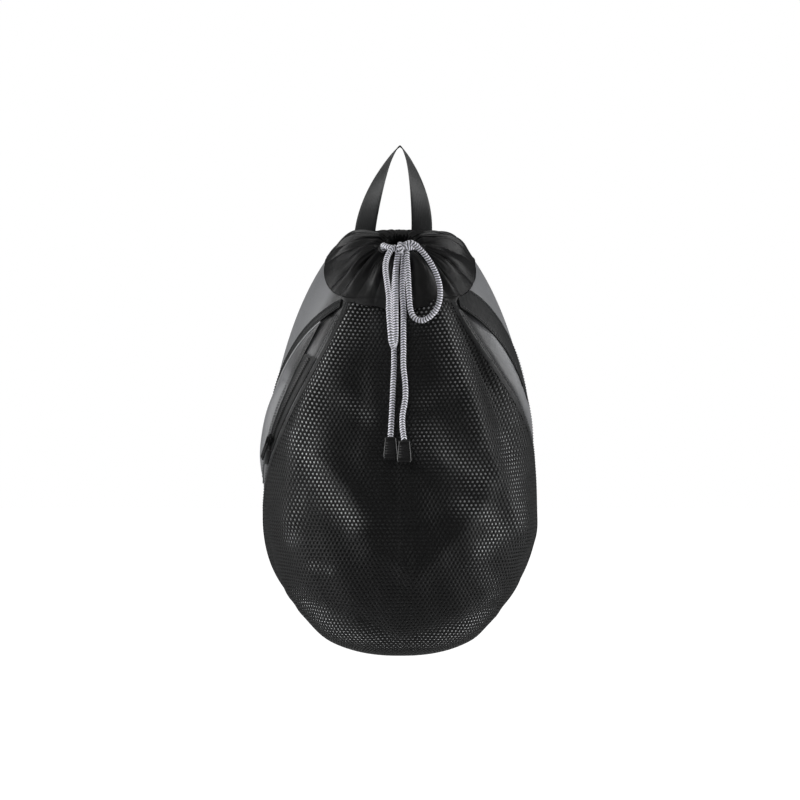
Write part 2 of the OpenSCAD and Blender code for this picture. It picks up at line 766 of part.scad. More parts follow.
from_hook = [0, -handle_peak_y, -hook_z];
echo(hook_z = hook_z, arc_centre = arc_centre + from_hook, arc_axis = arc_axis,
    arc_travel = arc_travel, pull_pin = arc_a + pull_pin_out * slider_out + from_hook,
    pull_axis = -slider_across, strap_top = strap_point(0) + from_hook,
    strap_low = strap_point(1) + from_hook,
    handle_pin = [0, handle_foot_y, handle_foot_z - handle_pin_gap] + from_hook);

hung() mesh_panel();
hung() left() side_panel(left_full_h);  // left_side_panel
hung() side_panel(right_full_h);  // right_side_panel
hung() back_panel();
hung() back_foam();
hung() back_lining();
hung() left() seam_tape(function(h) front_seam_q(h, left_full_h));  // left_front_seam_tape
hung() seam_tape(function(h) front_seam_q(h, right_full_h));  // right_front_seam_tape
hung() left() seam_tape(function(h) back_seam(h));  // left_back_seam_tape
hung() seam_tape(function(h) back_seam(h));  // right_back_seam_tape
hung() left() band(left_band_w);  // left_band
hung() band(right_band_w);  // right_band
hung() pocket_panel();
hung() pocket_piping();
hung() zip_tape();
hung() zip_coil();
hung() zip_end_tab();
hung() zip_slider();
hung() zip_pull();
hung() collar();
hung() collar_facing();
hung() eyelet(-1);  // left_eyelet
hung() eyelet(1);  // right_eyelet
hung() drawstring_run();
hung() drawstring_knot();
hung() color(cord_white) cord(left_loop_line);  // drawstring_left_loop
hung() color(cord_white) cord(right_loop_line);  // drawstring_right_loop
hung() color(cord_white) cord(left_end_line);  // drawstring_left_end
hung() color(cord_white) cord(right_end_line);  // drawstring_right_end
hung() cord_end(left_end_line);  // left_cord_end
hung() cord_end(right_end_line);  // right_cord_end
hung() handle();
hung() handle_tab(-1);  // left_handle_tab
hung() handle_tab(1);  // right_handle_tab
hung() strap_yoke();
hung() left() strap_pad();  // left_strap_pad
hung() strap_pad();  // right_strap_pad
hung() left() strap_webbing();  // left_strap_webbing
hung() strap_webbing();  // right_strap_webbing
hung() left() ladder_lock();  // left_ladder_lock
hung() ladder_lock();  // right_ladder_lock
hung() left() strap_anchor();  // left_strap_anchor
hung() strap_anchor();  // right_strap_anchor
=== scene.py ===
import bmesh
import bpy
import math
import numpy as np
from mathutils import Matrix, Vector


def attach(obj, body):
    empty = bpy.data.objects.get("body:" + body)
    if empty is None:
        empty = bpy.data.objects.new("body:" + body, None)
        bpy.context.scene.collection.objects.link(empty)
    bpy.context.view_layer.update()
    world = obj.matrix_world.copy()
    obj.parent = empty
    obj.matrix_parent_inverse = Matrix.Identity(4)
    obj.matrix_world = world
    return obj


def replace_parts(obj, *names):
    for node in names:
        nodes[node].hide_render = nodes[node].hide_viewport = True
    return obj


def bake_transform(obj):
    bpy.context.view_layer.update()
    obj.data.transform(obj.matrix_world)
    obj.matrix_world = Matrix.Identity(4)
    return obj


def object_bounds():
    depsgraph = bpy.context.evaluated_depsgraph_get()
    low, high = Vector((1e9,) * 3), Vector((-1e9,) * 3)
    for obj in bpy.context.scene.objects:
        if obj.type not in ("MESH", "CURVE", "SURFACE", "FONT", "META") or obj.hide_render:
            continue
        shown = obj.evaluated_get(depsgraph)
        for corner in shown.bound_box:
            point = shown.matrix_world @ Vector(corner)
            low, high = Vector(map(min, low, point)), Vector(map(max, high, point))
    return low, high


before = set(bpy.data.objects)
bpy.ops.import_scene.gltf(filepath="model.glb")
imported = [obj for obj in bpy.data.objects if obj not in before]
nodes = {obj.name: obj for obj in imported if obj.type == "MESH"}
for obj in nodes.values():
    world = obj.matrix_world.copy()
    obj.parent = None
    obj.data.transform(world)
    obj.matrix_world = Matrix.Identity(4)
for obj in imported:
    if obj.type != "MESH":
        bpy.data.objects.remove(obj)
cadBox = [list(corner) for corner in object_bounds()]

# Sizes of the bag in millimetres, its lowest point at height 0 and its front towards -Y
bag = {
    "width": 327,
    "frontDepth": 125,
    "backDepth": 105,
    "height": 509,
    "widest": 165,
    "baseRound": 2.4,
    "collarFront": 425,
    "collarSide": 475,
    "peakY": 26,
}
hookHeight = -cadBox[0][2] * 1000
crown = bag["height"] + 21 - bag["widest"]
mmPerDegree = 2.2


def hang(points):
    # bag millimetres to the hung frame's metres
    return (np.asarray(points, float) - [0, bag["peakY"], hookHeight]) / 1000


def mix(a, b, t):
    return a + (b - a) * t


def smooth(t):
    t = np.clip(t, 0, 1)
    return t * t * (3 - 2 * t)


def unit(v):
    v = np.asarray(v, float)
    return v / np.maximum(np.linalg.norm(v, axis=-1, keepdims=True), 1e-9)


print("camera and lights")
camera = {"distance": 5.0, "fieldWidth": 0.96, "centreHeight": 304.8}
cameraData = bpy.data.cameras.new("camera")
cameraData.sensor_width = 36
cameraData.lens = cameraData.sensor_width * camera["distance"] / camera["fieldWidth"]
cameraObject = bpy.data.objects.new("camera", cameraData)
cameraObject.location = hang([0, 0, camera["centreHeight"]]) * [0, 0, 1] + [0, -camera["distance"], 0]
cameraObject.rotation_euler = (math.pi / 2, 0, 0)
bpy.context.scene.collection.objects.link(cameraObject)
bpy.context.scene.camera = cameraObject
bpy.context.scene.view_settings.view_transform = "Standard"


def tree(material):
    material.use_nodes = True
    return material.node_tree.nodes, material.node_tree.links


def cameraRay(n, l):
    # 1 where the camera looks straight at the surface
    path = n.new("ShaderNodeLightPath")
    seen = n.new("ShaderNodeMath")
    seen.operation = "MAXIMUM"
    l.new(path.outputs["Is Camera Ray"], seen.inputs[0])
    l.new(path.outputs["Is Transmission Ray"], seen.inputs[1])
    return seen.outputs[0]


studio = {
    "ambient": 0.13,
    "sidePower": 18.0,
    "frontPower": 4.6,
    "topPower": 3.2,
    "floorDrop": 0.35,
    "floorSize": 40,
}
world = bpy.data.worlds.new("studio")
bpy.context.scene.world = world
n, l = tree(world)
n["Background"].inputs["Color"].default_value = (1, 1, 1, 1)
level = n.new("ShaderNodeMapRange")
level.inputs["To Min"].default_value = studio["ambient"]
level.inputs["To Max"].default_value = 1
l.new(cameraRay(n, l), level.inputs["Value"])
l.new(level.outputs["Result"], n["Background"].inputs["Strength"])


def areaLight(name, place, target, width, height, power):
    data = bpy.data.lights.new(name, "AREA")
    data.shape = "RECTANGLE"
    data.size = width
    data.size_y = height
    data.energy = power
    light = bpy.data.objects.new(name, data)
    light.location = place
    aim = np.asarray(target, float) - place
    light.rotation_mode = "QUATERNION"
    light.rotation_quaternion = Vector(aim).to_track_quat("-Z", "Y")
    bpy.context.scene.collection.objects.link(light)


middle = hang([0, 0, 290])
for side in (-1, 1):
    areaLight(f"side_light_{side}", middle + [side * 1.35, -0.15, 0.15], middle, 0.7, 1.5,
              studio["sidePower"])
areaLight("front_light", middle + [-0.7, -2.0, 0.9], middle, 0.9, 0.9, studio["frontPower"])
areaLight("top_light", middle + [0, -0.3, 1.5], middle, 1.2, 1.2, studio["topPower"])

floorMesh = bpy.data.meshes.new("floor")
half = studio["floorSize"] / 2
floorZ = cadBox[0][2] - studio["floorDrop"]
floorMesh.from_pydata([(-half, -half, floorZ), (half, -half, floorZ), (half, half, floorZ),
                       (-half, half, floorZ)], [], [(0, 1, 2, 3)])
floorObject = bpy.data.objects.new("floor", floorMesh)
bpy.context.scene.collection.objects.link(floorObject)
floorPaint = bpy.data.materials.new("pale_floor")
n, l = tree(floorPaint)
shader = n["Principled BSDF"]
shader.inputs["Base Color"].default_value = (0.86, 0.86, 0.86, 1)
shader.inputs["Roughness"].default_value = 0.7
glow = n.new("ShaderNodeEmission")
glow.inputs["Strength"].default_value = 1.0
both = n.new("ShaderNodeAddShader")
l.new(shader.outputs[0], both.inputs[0])
l.new(glow.outputs[0], both.inputs[1])
pick = n.new("ShaderNodeMixShader")
l.new(cameraRay(n, l), pick.inputs["Fac"])
l.new(shader.outputs[0], pick.inputs[1])
l.new(both.outputs[0], pick.inputs[2])
l.new(pick.outputs[0], n["Material Output"].inputs["Surface"])
floorMesh.materials.append(floorPaint)

print("materials")


def principled(name, color, roughness, **sockets):
    material = bpy.data.materials.new(name)
    n, l = tree(material)
    shader = n["Principled BSDF"]
    shader.inputs["Base Color"].default_value = (*color, 1)
    shader.inputs["Roughness"].default_value = roughness
    for socket, value in sockets.items():
        shader.inputs[socket.replace("_", " ")].default_value = value
    return material, n, l, shader


def noiseNode(n, l, coords, scale, detail=4):
    texture = n.new("ShaderNodeTexNoise")
    texture.inputs["Scale"].default_value = scale
    texture.inputs["Detail"].default_value = detail
    l.new(coords, texture.inputs["Vector"])
    return texture.outputs["Fac"]


def ramp(n, l, value, low, high, lowColor, highColor):
    node = n.new("ShaderNodeMapRange")
    node.data_type = "FLOAT_VECTOR"
    node.inputs[7].default_value = (low,) * 3
    node.inputs[8].default_value = (high,) * 3
    node.inputs[9].default_value = lowColor
    node.inputs[10].default_value = highColor
    l.new(value, node.inputs[6])
    return node.outputs[1]


def bump(n, l, height, strength, distance, after=None):
    node = n.new("ShaderNodeBump")
    node.inputs["Strength"].default_value = strength
    node.inputs["Distance"].default_value = distance
    l.new(height, node.inputs["Height"])
    if after:
        l.new(after, node.inputs["Normal"])
    return node.outputs["Normal"]


def math2(n, l, operation, a, b=None):
    node = n.new("ShaderNodeMath")
    node.operation = operation
    for k, value in enumerate((a, b)):
        if value is None:
            continue
        if isinstance(value, (int, float)):
            node.inputs[k].default_value = value
        else:
            l.new(value, node.inputs[k])
    return node.outputs[0]


def wave(n, l, coords, scale, direction):
    node = n.new("ShaderNodeTexWave")
    node.bands_direction = direction
    node.inputs["Scale"].default_value = scale
    l.new(coords, node.inputs["Vector"])
    return node.outputs["Fac"]


def unevenShine(n, l, shader, coords, scale, detail, low, high):
    # patches a little shinier or duller than the rest
    rough = n.new("ShaderNodeMapRange")
    rough.inputs["To Min"].default_value = low
    rough.inputs["To Max"].default_value = high
    l.new(noiseNode(n, l, coords, scale, detail), rough.inputs["Value"])
    l.new(rough.outputs["Result"], shader.inputs["Roughness"])


# Woven cloth: a fine thread grid, uneven dye and soft creases
def clothMaterial(name, color, roughness, thread=1500, vary=0.18, crease=0.5, sheen=0.15, specular=0.5):
    material, n, l, shader = principled(name, color, roughness, Sheen_Weight=sheen,
                                        Sheen_Roughness=0.4, Specular_IOR_Level=specular)
    coords = n.new("ShaderNodeTexCoord").outputs["Object"]
    cloudy = noiseNode(n, l, coords, 22, 5)
    dark = tuple(c * (1 - vary) for c in color)
    light = tuple(c * (1 + vary) for c in color)
    l.new(ramp(n, l, cloudy, 0.3, 0.7, dark, light), shader.inputs["Base Color"])
    across = wave(n, l, coords, thread, "X")
    along = wave(n, l, coords, thread, "Z")
    weave = math2(n, l, "MULTIPLY", across, along)
    fine = bump(n, l, weave, 0.25, 0.0002)
    creases = noiseNode(n, l, coords, 55, 3)
    l.new(bump(n, l, creases, crease, 0.0015, fine), shader.inputs["Normal"])
    unevenShine(n, l, shader, coords, 120, 3, max(0.05, roughness - 0.07), roughness + 0.07)
    return material


# Satin with painted shade: an attribute on the cloth darkens its colour down in its folds
def satinWithPaintedShade(name, color, roughness):
    material, n, l, shader = principled(name, color, roughness, Sheen_Weight=0.08, Sheen_Roughness=0.4)
    paintedLightLevel = n.new("ShaderNodeAttribute")
    paintedLightLevel.attribute_name = "painted_light_level"
    coords = n.new("ShaderNodeTexCoord").outputs["Object"]
    cloudy = math2(n, l, "ADD", 0.88, math2(n, l, "MULTIPLY", noiseNode(n, l, coords, 24, 5), 0.24))
    # painted shade: the colour falls to near black where the attribute is low
    level = math2(n, l, "MULTIPLY", paintedLightLevel.outputs["Fac"], cloudy)
    deep = tuple(c * 0.03 for c in color)
    l.new(ramp(n, l, level, 0.0, 1.0, deep, color), shader.inputs["Base Color"])
    across = wave(n, l, coords, 1600, "X")
    upwards = wave(n, l, coords, 1600, "Z")
    fine = bump(n, l, math2(n, l, "MULTIPLY", across, upwards), 0.25, 0.0002)
    creases = noiseNode(n, l, coords, 40, 3)
    l.new(bump(n, l, creases, 0.3, 0.0015, fine), shader.inputs["Normal"])
    unevenShine(n, l, shader, coords, 120, 3, roughness - 0.07, roughness + 0.07)
    return material


def paintPoints(piece, name, values):
    layer = piece.data.attributes.new(name, "FLOAT", "POINT")
    values = np.asarray(values, float).ravel()
    layer.data.foreach_set("value", np.concatenate([values] * 2))


# Webbing: ribs along its length and a tight herringbone across, read from its own UVs in metres
def webbingMaterial(name, color):
    material, n, l, shader = principled(name, color, 0.55, Sheen_Weight=0.25, Sheen_Roughness=0.35)
    uv = n.new("ShaderNodeTexCoord").outputs["UV"]
    split = n.new("ShaderNodeSeparateXYZ")
    l.new(uv, split.inputs[0])
    ribs = math2(n, l, "PINGPONG", split.outputs["X"], 0.0011)
    slant = math2(n, l, "ADD", split.outputs["Y"], math2(n, l, "PINGPONG", split.outputs["X"], 0.0022))
    picks = math2(n, l, "PINGPONG", slant, 0.0006)
    weave = math2(n, l, "ADD", math2(n, l, "MULTIPLY", ribs, 900), math2(n, l, "MULTIPLY", picks, 700))
    l.new(bump(n, l, weave, 0.35, 0.00025), shader.inputs["Normal"])
    coords = n.new("ShaderNodeTexCoord").outputs["Object"]
    cloudy = noiseNode(n, l, coords, 60, 4)
    l.new(ramp(n, l, cloudy, 0.3, 0.7, tuple(c * 0.8 for c in color), tuple(c * 1.25 for c in color)),
          shader.inputs["Base Color"])
    return material


# Braid: white and black strands that meet in chevrons round the cord
def braidMaterial(name, white, black, pitch, columns):
    material, n, l, shader = principled(name, white, 0.55, Sheen_Weight=0.3, Sheen_Roughness=0.4)
    uv = n.new("ShaderNodeTexCoord").outputs["UV"]
    split = n.new("ShaderNodeSeparateXYZ")
    l.new(uv, split.inputs[0])
    turn = math2(n, l, "PINGPONG", math2(n, l, "MULTIPLY", split.outputs["X"], columns), 0.5)
    pitches = math2(n, l, "DIVIDE", split.outputs["Y"], pitch)
    slant = math2(n, l, "ADD", pitches, math2(n, l, "MULTIPLY", turn, 0.9))
    stripe = math2(n, l, "PINGPONG", slant, 0.5)
    l.new(ramp(n, l, stripe, 0.17, 0.25, black, white), shader.inputs["Base Color"])
    strand = math2(n, l, "PINGPONG", math2(n, l, "MULTIPLY", slant, 4), 0.5)
    l.new(bump(n, l, strand, 0.5, 0.0003), shader.inputs["Normal"])
    return material


# Backing behind the net: near black as painted shade, painted pale where an attribute marks painted light
# showing through the holes
def backingMaterial(name, dark, light):
    material, n, l, shader = principled(name, dark, 0.6)
    painted_light_patches = n.new("ShaderNodeAttribute")
    painted_light_patches.attribute_name = "painted_light_patches"
    coords = n.new("ShaderNodeTexCoord").outputs["Object"]
    cloudy = math2(n, l, "ADD", 0.45, noiseNode(n, l, coords, 90, 4))
    uneven = math2(n, l, "MULTIPLY", painted_light_patches.outputs["Fac"], cloudy)
    l.new(ramp(n, l, uneven, 0.0, 1.0, dark, light), shader.inputs["Base Color"])
    threads = wave(n, l, coords, 1900, "X")
    l.new(bump(n, l, threads, 0.2, 0.0002), shader.inputs["Normal"])
    return material


# Moulded plastic: faint mould texture and rubbed patches
def plasticMaterial(name, color, roughness):
    material, n, l, shader = principled(name, color, roughness)
    coords = n.new("ShaderNodeTexCoord").outputs["Object"]
    unevenShine(n, l, shader, coords, 160, 5, roughness * 0.75, roughness * 1.3)
    grain = noiseNode(n, l, coords, 1400, 2)
    l.new(bump(n, l, grain, 0.12, 0.0001), shader.inputs["Normal"])
    return material


paints = {
    "mesh": clothMaterial("mesh_yarn", (0.0045, 0.0048, 0.005), 0.5, 2400, 0.2, 0.1, 0.0, 0.22),
    "backing": backingMaterial("mesh_backing", (0.004, 0.004, 0.0045), (0.95, 0.97, 0.98)),
    "grey": satinWithPaintedShade("side_satin", (0.165, 0.168, 0.175), 0.4),
    "pocket": satinWithPaintedShade("pocket_satin", (0.16, 0.163, 0.17), 0.38),
    "satin": clothMaterial("collar_satin", (0.0016, 0.0016, 0.0019), 0.36, 1800, 0.15, 0.5, 0.0, 0.32),
    "black": clothMaterial("black_cloth", (0.0075, 0.008, 0.0085), 0.5, 1300, 0.15, 0.2, 0.02, 0.25),
    "spacer": clothMaterial("back_spacer", (0.02, 0.0205, 0.022), 0.7, 500, 0.15, 0.25, 0.2, 0.3),
    "foam": clothMaterial("foam_core", (0.34, 0.34, 0.32), 0.9, 900, 0.1, 0.3, 0, 0.2),
    "webbing": webbingMaterial("webbing_weave", (0.0125, 0.0135, 0.014)),
    "piping": clothMaterial("piping_satin", (0.24, 0.243, 0.25), 0.45, 1500, 0.06, 0.1, 0.1),
    "braid": braidMaterial("braid", (0.86, 0.86, 0.93), (0.012, 0.012, 0.02), 0.0031, 2),
    "plastic": plasticMaterial("moulded_plastic", (0.009, 0.009, 0.0095), 0.22),
    "coil": plasticMaterial("zip_coil", (0.012, 0.012, 0.013), 0.35),
    "threadGrey": clothMaterial("seam_thread", (0.09, 0.092, 0.097), 0.6, 3000, 0.2, 0.1, 0.1, 0.4),
    "thread": clothMaterial("stitch_thread", (0.03, 0.031, 0.033), 0.6, 3000, 0.2, 0.1, 0.1, 0.4),
}

print("shape of the bag")


def share(z):
    z = np.asarray(z, float)
    up = np.sqrt(np.clip(1 - ((z - bag["widest"]) / crown) ** 2, 0, 1))
    down = np.clip(1 - (1 - np.clip(z, 0, None) / bag["widest"]) ** 2, 0, 1) ** (1 / bag["baseRound"])
    return np.where(z > bag["widest"], up, down)


def rim(q):
    t = np.clip((np.abs(q) - 30) / 60, 0, 1)
    return mix(bag["collarFront"], bag["collarSide"], (1 - np.cos(np.pi * t)) / 2)


def skin(q, h):
    q, h = np.broadcast_arrays(np.asarray(q, float), np.asarray(h, float))
    z = h + (rim(q) - bag["collarFront"]) * (np.clip(h, 0, None) / bag["collarFront"]) ** 3
    a = np.radians(q)
    depth = np.where(np.cos(a) > 0, bag["frontDepth"], bag["backDepth"])
    return np.stack([bag["width"] / 2 * share(z) * np.sin(a), -depth * share(z) * np.cos(a), z], -1)


def outward(q, h):
    q, h = np.broadcast_arrays(np.asarray(q, float), np.asarray(h, float))
    above = np.maximum(h, 0.8)
    across = skin(q + 0.5, above) - skin(q - 0.5, above)
    up = skin(q, above + 0.4) - skin(q, above - 0.4)
    normal = unit(np.cross(across, up))
    return np.where((h < 0.6)[..., None], [0.0, 0.0, -1.0], normal)


def lifted(q, h, out):
    q, h, out = np.broadcast_arrays(*(np.asarray(v, float) for v in (q, h, out)))
    return skin(q, h) + out[..., None] * outward(q, h)


def backAt(x, z, out):
    s = share(z)
    y = bag["backDepth"] * s * np.sqrt(np.clip(1 - (x / (bag["width"] / 2 * s)) ** 2, 0, 1)) + out
    return np.stack(np.broadcast_arrays(x, y, z), -1).astype(float)


def baseSeam(h):
    t = np.clip((60 - h) / 48, 0, 1)
    return np.where(h <= 12, 179.9, 180 - 67 * np.sqrt(np.clip(1 - t * t, 0, 1)))


def frontSeam(h, fullHeight):
    h = np.asarray(h, float)
    high = mix(33, 90, np.clip((425 - h) / (425 - fullHeight), 0, None) ** 1.35)
    low = mix(90, 113, np.clip((fullHeight - h) / (fullHeight - 60), 0, 1) ** 2)
    return np.where(h >= fullHeight, high, np.where(h >= 60, low, baseSeam(h)))


def backSeam(h):
    h = np.asarray(h, float)
    low = mix(130, 113, np.clip((165 - h) / 105, 0, 1) ** 2)
    return np.where(h >= 165, 130.0, np.where(h >= 60, low, baseSeam(h)))


fullHeight = {-1: 165, 1: 225}


def ridge(x, z, line, height, width):
    nearest = np.full(np.broadcast(x, z).shape, 1e9)
    for (x0, z0), (x1, z1) in zip(line[:-1], line[1:]):
        dx = x1 - x0
        dz = z1 - z0
        t = np.clip(((x - x0) * dx + (z - z0) * dz) / (dx * dx + dz * dz), 0, 1)
        nearest = np.minimum(nearest, np.hypot(x - x0 - t * dx, z - z0 - t * dz))
    return height * np.exp(-(nearest / width) ** 1.7)


# Soft folds pressed into the front: each line runs in x and height, then its rise and its width
frontFolds = [
    ([(-70, 425), (-86, 392), (-104, 330), (-122, 250), (-132, 165)], 7, 15),
    ([(40, 425), (58, 370), (84, 300), (104, 240), (140, 150)], 7, 14),
    ([(0, 425), (0, 290), (-6, 240)], -7, 34),
    ([(78, 400), (98, 345), (118, 290), (132, 250)], -8, 14),
    ([(-38, 410), (-52, 260)], -3.5, 17),
    ([(-96, 240), (-60, 205), (-40, 168)], 5, 13),
    ([(-130, 150), (0, 150), (60, 175)], -4, 17),
    ([(-30, 130), (20, 100), (90, 170), (110, 215)], 4, 15),
    ([(-125, 62), (-51, 52), (-6, 20), (72, 41), (119, 57)], -3, 9),
    ([(30, 240), (96, 205)], 4, 12),
    ([(-158, 128), (-140, 88), (-112, 52)], -6.5, 22),
    ([(156, 112), (140, 80), (112, 46)], -6, 20),
]


def foldOut(x, z):
    out = 0.9 * np.sin(x / 13 + z / 31) * np.sin(z / 23 - x / 47) + 0.5 * np.sin(x / 6.5 + z / 17)
    for line, height, width in frontFolds:
        out = out + ridge(x, z, line, height, width)
    return out


def frontFold(q, h):
    # folds die out at the seams, the collar and the base
    p = skin(q, h)
    seam = np.where(np.asarray(q) < 0, frontSeam(h, fullHeight[-1]), frontSeam(h, fullHeight[1]))
    inside = (seam - np.abs(q)) * mmPerDegree
    fade = smooth(inside / 22) * smooth((428 - h) / 12) * smooth((np.asarray(h) - 5) / 30)
    return foldOut(p[..., 0], p[..., 2]) * fade


def addMesh(name, points, faces, paint, body="bag", uv=None, sharp=50, tidy=True):
    data = bpy.data.meshes.new(name)
    places = hang(np.asarray(points, float).reshape(-1, 3))
    data.from_pydata(places.tolist(), [], faces if isinstance(faces, list) else faces.tolist())
    if uv is not None:
        layer = data.uv_layers.new(name="UVMap")
        corner = np.empty(len(data.loops), int)
        data.loops.foreach_get("vertex_index", corner)
        layer.data.foreach_set("uv", np.asarray(uv, float).reshape(-1, 2)[corner].ravel())
    if tidy:
        work = bmesh.new()
        work.from_mesh(data)
        bmesh.ops.recalc_face_normals(work, faces=work.faces)
        work.to_mesh(data)
        work.free()
    data.shade_smooth()
    if sharp:
        data.set_sharp_from_angle(angle=math.radians(sharp))
    data.materials.append(paints[paint])
    piece = bpy.data.objects.new(name, data)
    bpy.context.scene.collection.objects.link(piece)
    if body:
        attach(piece, body)
    return piece


def gridFaces(rows, columns, start=0, wrap=False):
    last = columns if wrap else columns - 1
    i, j = np.meshgrid(np.arange(rows - 1), np.arange(last), indexing="ij")
    k = (j + 1) % columns
    quads = np.stack([i * columns + j, i * columns + k, (i + 1) * columns + k, (i + 1) * columns + j], -1)
    return quads.reshape(-1, 4) + start


def tubeFaces(rows, sides):
    # a ring of faces for each row, and a face over each end
    faces = gridFaces(rows, sides, 0, True).tolist()
    faces.append(list(range(sides)))
    faces.append([(rows - 1) * sides + k for k in range(sides)])
    return faces


def slab(name, outer, inner, paint, body="bag", uv=None, wrap=False, sharp=50):
    # a closed sheet between two grids of points
    rows, columns = outer.shape[:2]
    count = rows * columns
    top = gridFaces(rows, columns, 0, wrap)
    parts = [top, gridFaces(rows, columns, count, wrap)[:, ::-1]]
    a = np.arange(columns - (0 if wrap else 1))
    b = (a + 1) % columns
    for row in (0, rows - 1):
        first = row * columns
        parts.append(np.stack([first + a, first + b, count + first + b, count + first + a], -1))
    if not wrap:
        c = np.arange(rows - 1) * columns
        for column in (0, columns - 1):
            parts.append(np.stack([c + column, c + columns + column, count + c + columns + column,
                                   count + c + column], -1))
    points = np.concatenate([outer.reshape(-1, 3), inner.reshape(-1, 3)])
    if uv is not None:
        uv = np.concatenate([np.reshape(uv, (-1, 2))] * 2)
    return addMesh(name, points, np.concatenate(parts), paint, body, uv, sharp)


def curve(points, step, closed=False):
    # a smooth line through the points, cut evenly
    p = np.asarray(points, float)
    if closed:
        p = np.concatenate([p[-1:], p, p[:2]])
    else:
        p = np.concatenate([[2 * p[0] - p[1]], p, [2 * p[-1] - p[-2]]])
    t = np.linspace(0, 1, 24, endpoint=False)[:, None]
    line = []
    for a, b, c, d in zip(p[:-3], p[1:-2], p[2:-1], p[3:]):
        line.append(0.5 * (2 * b + (c - a) * t + (2 * a - 5 * b + 4 * c - d) * t ** 2
                           + (3 * b - a - 3 * c + d) * t ** 3))
    line = np.concatenate(line + [p[-2:-1]])
    along = np.concatenate([[0], np.cumsum(np.linalg.norm(np.diff(line, axis=0), axis=1))])
    count = max(2, int(round(along[-1] / step)) + 1)
    cuts = np.linspace(0, along[-1], count)
    return np.stack([np.interp(cuts, along, line[:, k]) for k in range(3)], -1)


def lengthOf(line):
    return float(np.linalg.norm(np.diff(line, axis=0), axis=1).sum())


def frames(line, start=(1, 0.2, 0)):
    direction = unit(np.gradient(line, axis=0))
    sides = []
    side = np.asarray(start, float)
    for d in direction:
        side = unit(side - side @ d * d)
        sides.append(side)
    sides = np.array(sides)
    return direction, sides, np.cross(direction, sides)


def tube(name, line, radius, paint, body="bag", sides=16, relief=None, squeeze=(1, 1), start=(1, 0.2, 0)):
    line = np.asarray(line, float)
    direction, side, up = frames(line, start)
    turn = np.arange(sides) / sides
    along = np.concatenate([[0], np.cumsum(np.linalg.norm(np.diff(line, axis=0), axis=1))])
    size = np.broadcast_to(np.asarray(radius, float), (len(line),))[:, None] * np.ones((1, sides))
    if relief:
        size = size + relief(turn[None, :], along[:, None])
    a = 2 * np.pi * turn[None, :, None]
    grid = line[:, None] + size[..., None] * (np.cos(a) * squeeze[0] * side[:, None]
                                             + np.sin(a) * squeeze[1] * up[:, None])
    faces = tubeFaces(len(line), sides)
    uv = np.stack(np.broadcast_arrays(turn[None, :], along[:, None] / 1000), -1)
    return addMesh(name, grid, faces, paint, body, uv, 60)


def ribbon(name, line, across, width, thick, paint, body="bag", columns=10):
    # webbing with rounded edges
    line = np.asarray(line, float)
    across = unit(across)
    direction = unit(np.gradient(line, axis=0))
    out = unit(np.cross(direction, across))
    u = np.linspace(-1, 1, columns + 1)
    edge = np.sqrt(np.clip(1 - np.abs(u) ** 9, 0.02, 1))
    half = thick / 2 * edge
    place = line[:, None] + (u * width / 2)[None, :, None] * across[:, None]
    along = np.concatenate([[0], np.cumsum(np.linalg.norm(np.diff(line, axis=0), axis=1))])
    uv = np.stack(np.broadcast_arrays(u[None, :] * width / 2000, along[:, None] / 1000), -1)
    top = place + half[None, :, None] * out[:, None]
    bottom = place - half[None, :, None] * out[:, None]
    return slab(name, top, bottom, paint, body, uv)


def stitches(name, line, out, paint="thread", body="bag", long=2.6, gap=1.1, thick=0.34):
    # a row of short raised threads along a line; out is the way up at each point
    line = np.asarray(line, float)
    out = np.asarray(out, float) * np.ones_like(line)
    along = np.concatenate([[0], np.cumsum(np.linalg.norm(np.diff(line, axis=0), axis=1))])
    count = int((along[-1] + gap) // (long + gap))
    start = (np.arange(count) * (long + gap))[:, None]
    shares = np.array([0, 0.12, 0.35, 0.65, 0.88, 1.0])
    heights = np.array([-0.25, 0.2, 0.42, 0.42, 0.2, -0.25])
    cuts = start + shares[None, :] * long
    p = np.stack([np.interp(cuts, along, line[:, k]) for k in range(3)], -1)
    up = unit(np.stack([np.interp(cuts, along, out[:, k]) for k in range(3)], -1))
    p = p + heights[None, :, None] * up
    direction = unit(np.gradient(p, axis=1))
    side = unit(np.cross(direction, up))
    normal = np.cross(side, direction)
    sides = 5
    a = 2 * np.pi * np.arange(sides) / sides
    taper = np.array([0.35, 0.85, 1, 1, 0.85, 0.35])
    ring = thick * (np.cos(a)[None, None, :, None] * side[:, :, None]
                    + np.sin(a)[None, None, :, None] * normal[:, :, None]) * taper[None, :, None, None]
    points = p[:, :, None] + ring
    one = gridFaces(len(shares), sides, 0, True)
    faces = (one[None] + (np.arange(count) * len(shares) * sides)[:, None, None]).reshape(-1, 4)
    return addMesh(name, points, faces, paint, body, sharp=0, tidy=False)


def carried(node, paint, bevel=0.0004, segments=2):
    # a CAD node that stays, with softened edges and a better finish
    piece = nodes[node]
    piece.data.materials.clear()
    piece.data.materials.append(paints[paint])
    if bevel:
        soften = piece.modifiers.new("soften", "BEVEL")
        soften.width = bevel
        soften.segments = segments
        soften.limit_method = "ANGLE"
        soften.angle_limit = math.radians(35)
        smoother = piece.modifiers.new("smooth_faces", "WEIGHTED_NORMAL")
        smoother.keep_sharp = True
    return piece


print("cords")
cord = {
    "diameter": 6.4,
    "braidPitch": 6.2,
    "strandRise": 0.28,
    "knotRadius": 9,
    "endWidth": 17,
    "endHeight": 25,
    "endThick": 9,
}
mouth = {"rx": 17, "rz": 9, "tilt": 47, "channel": -4.9, "eyeletOut": 7, "eyeletAngle": 54}
eye = np.array([0.0, 0.0, 400.0])


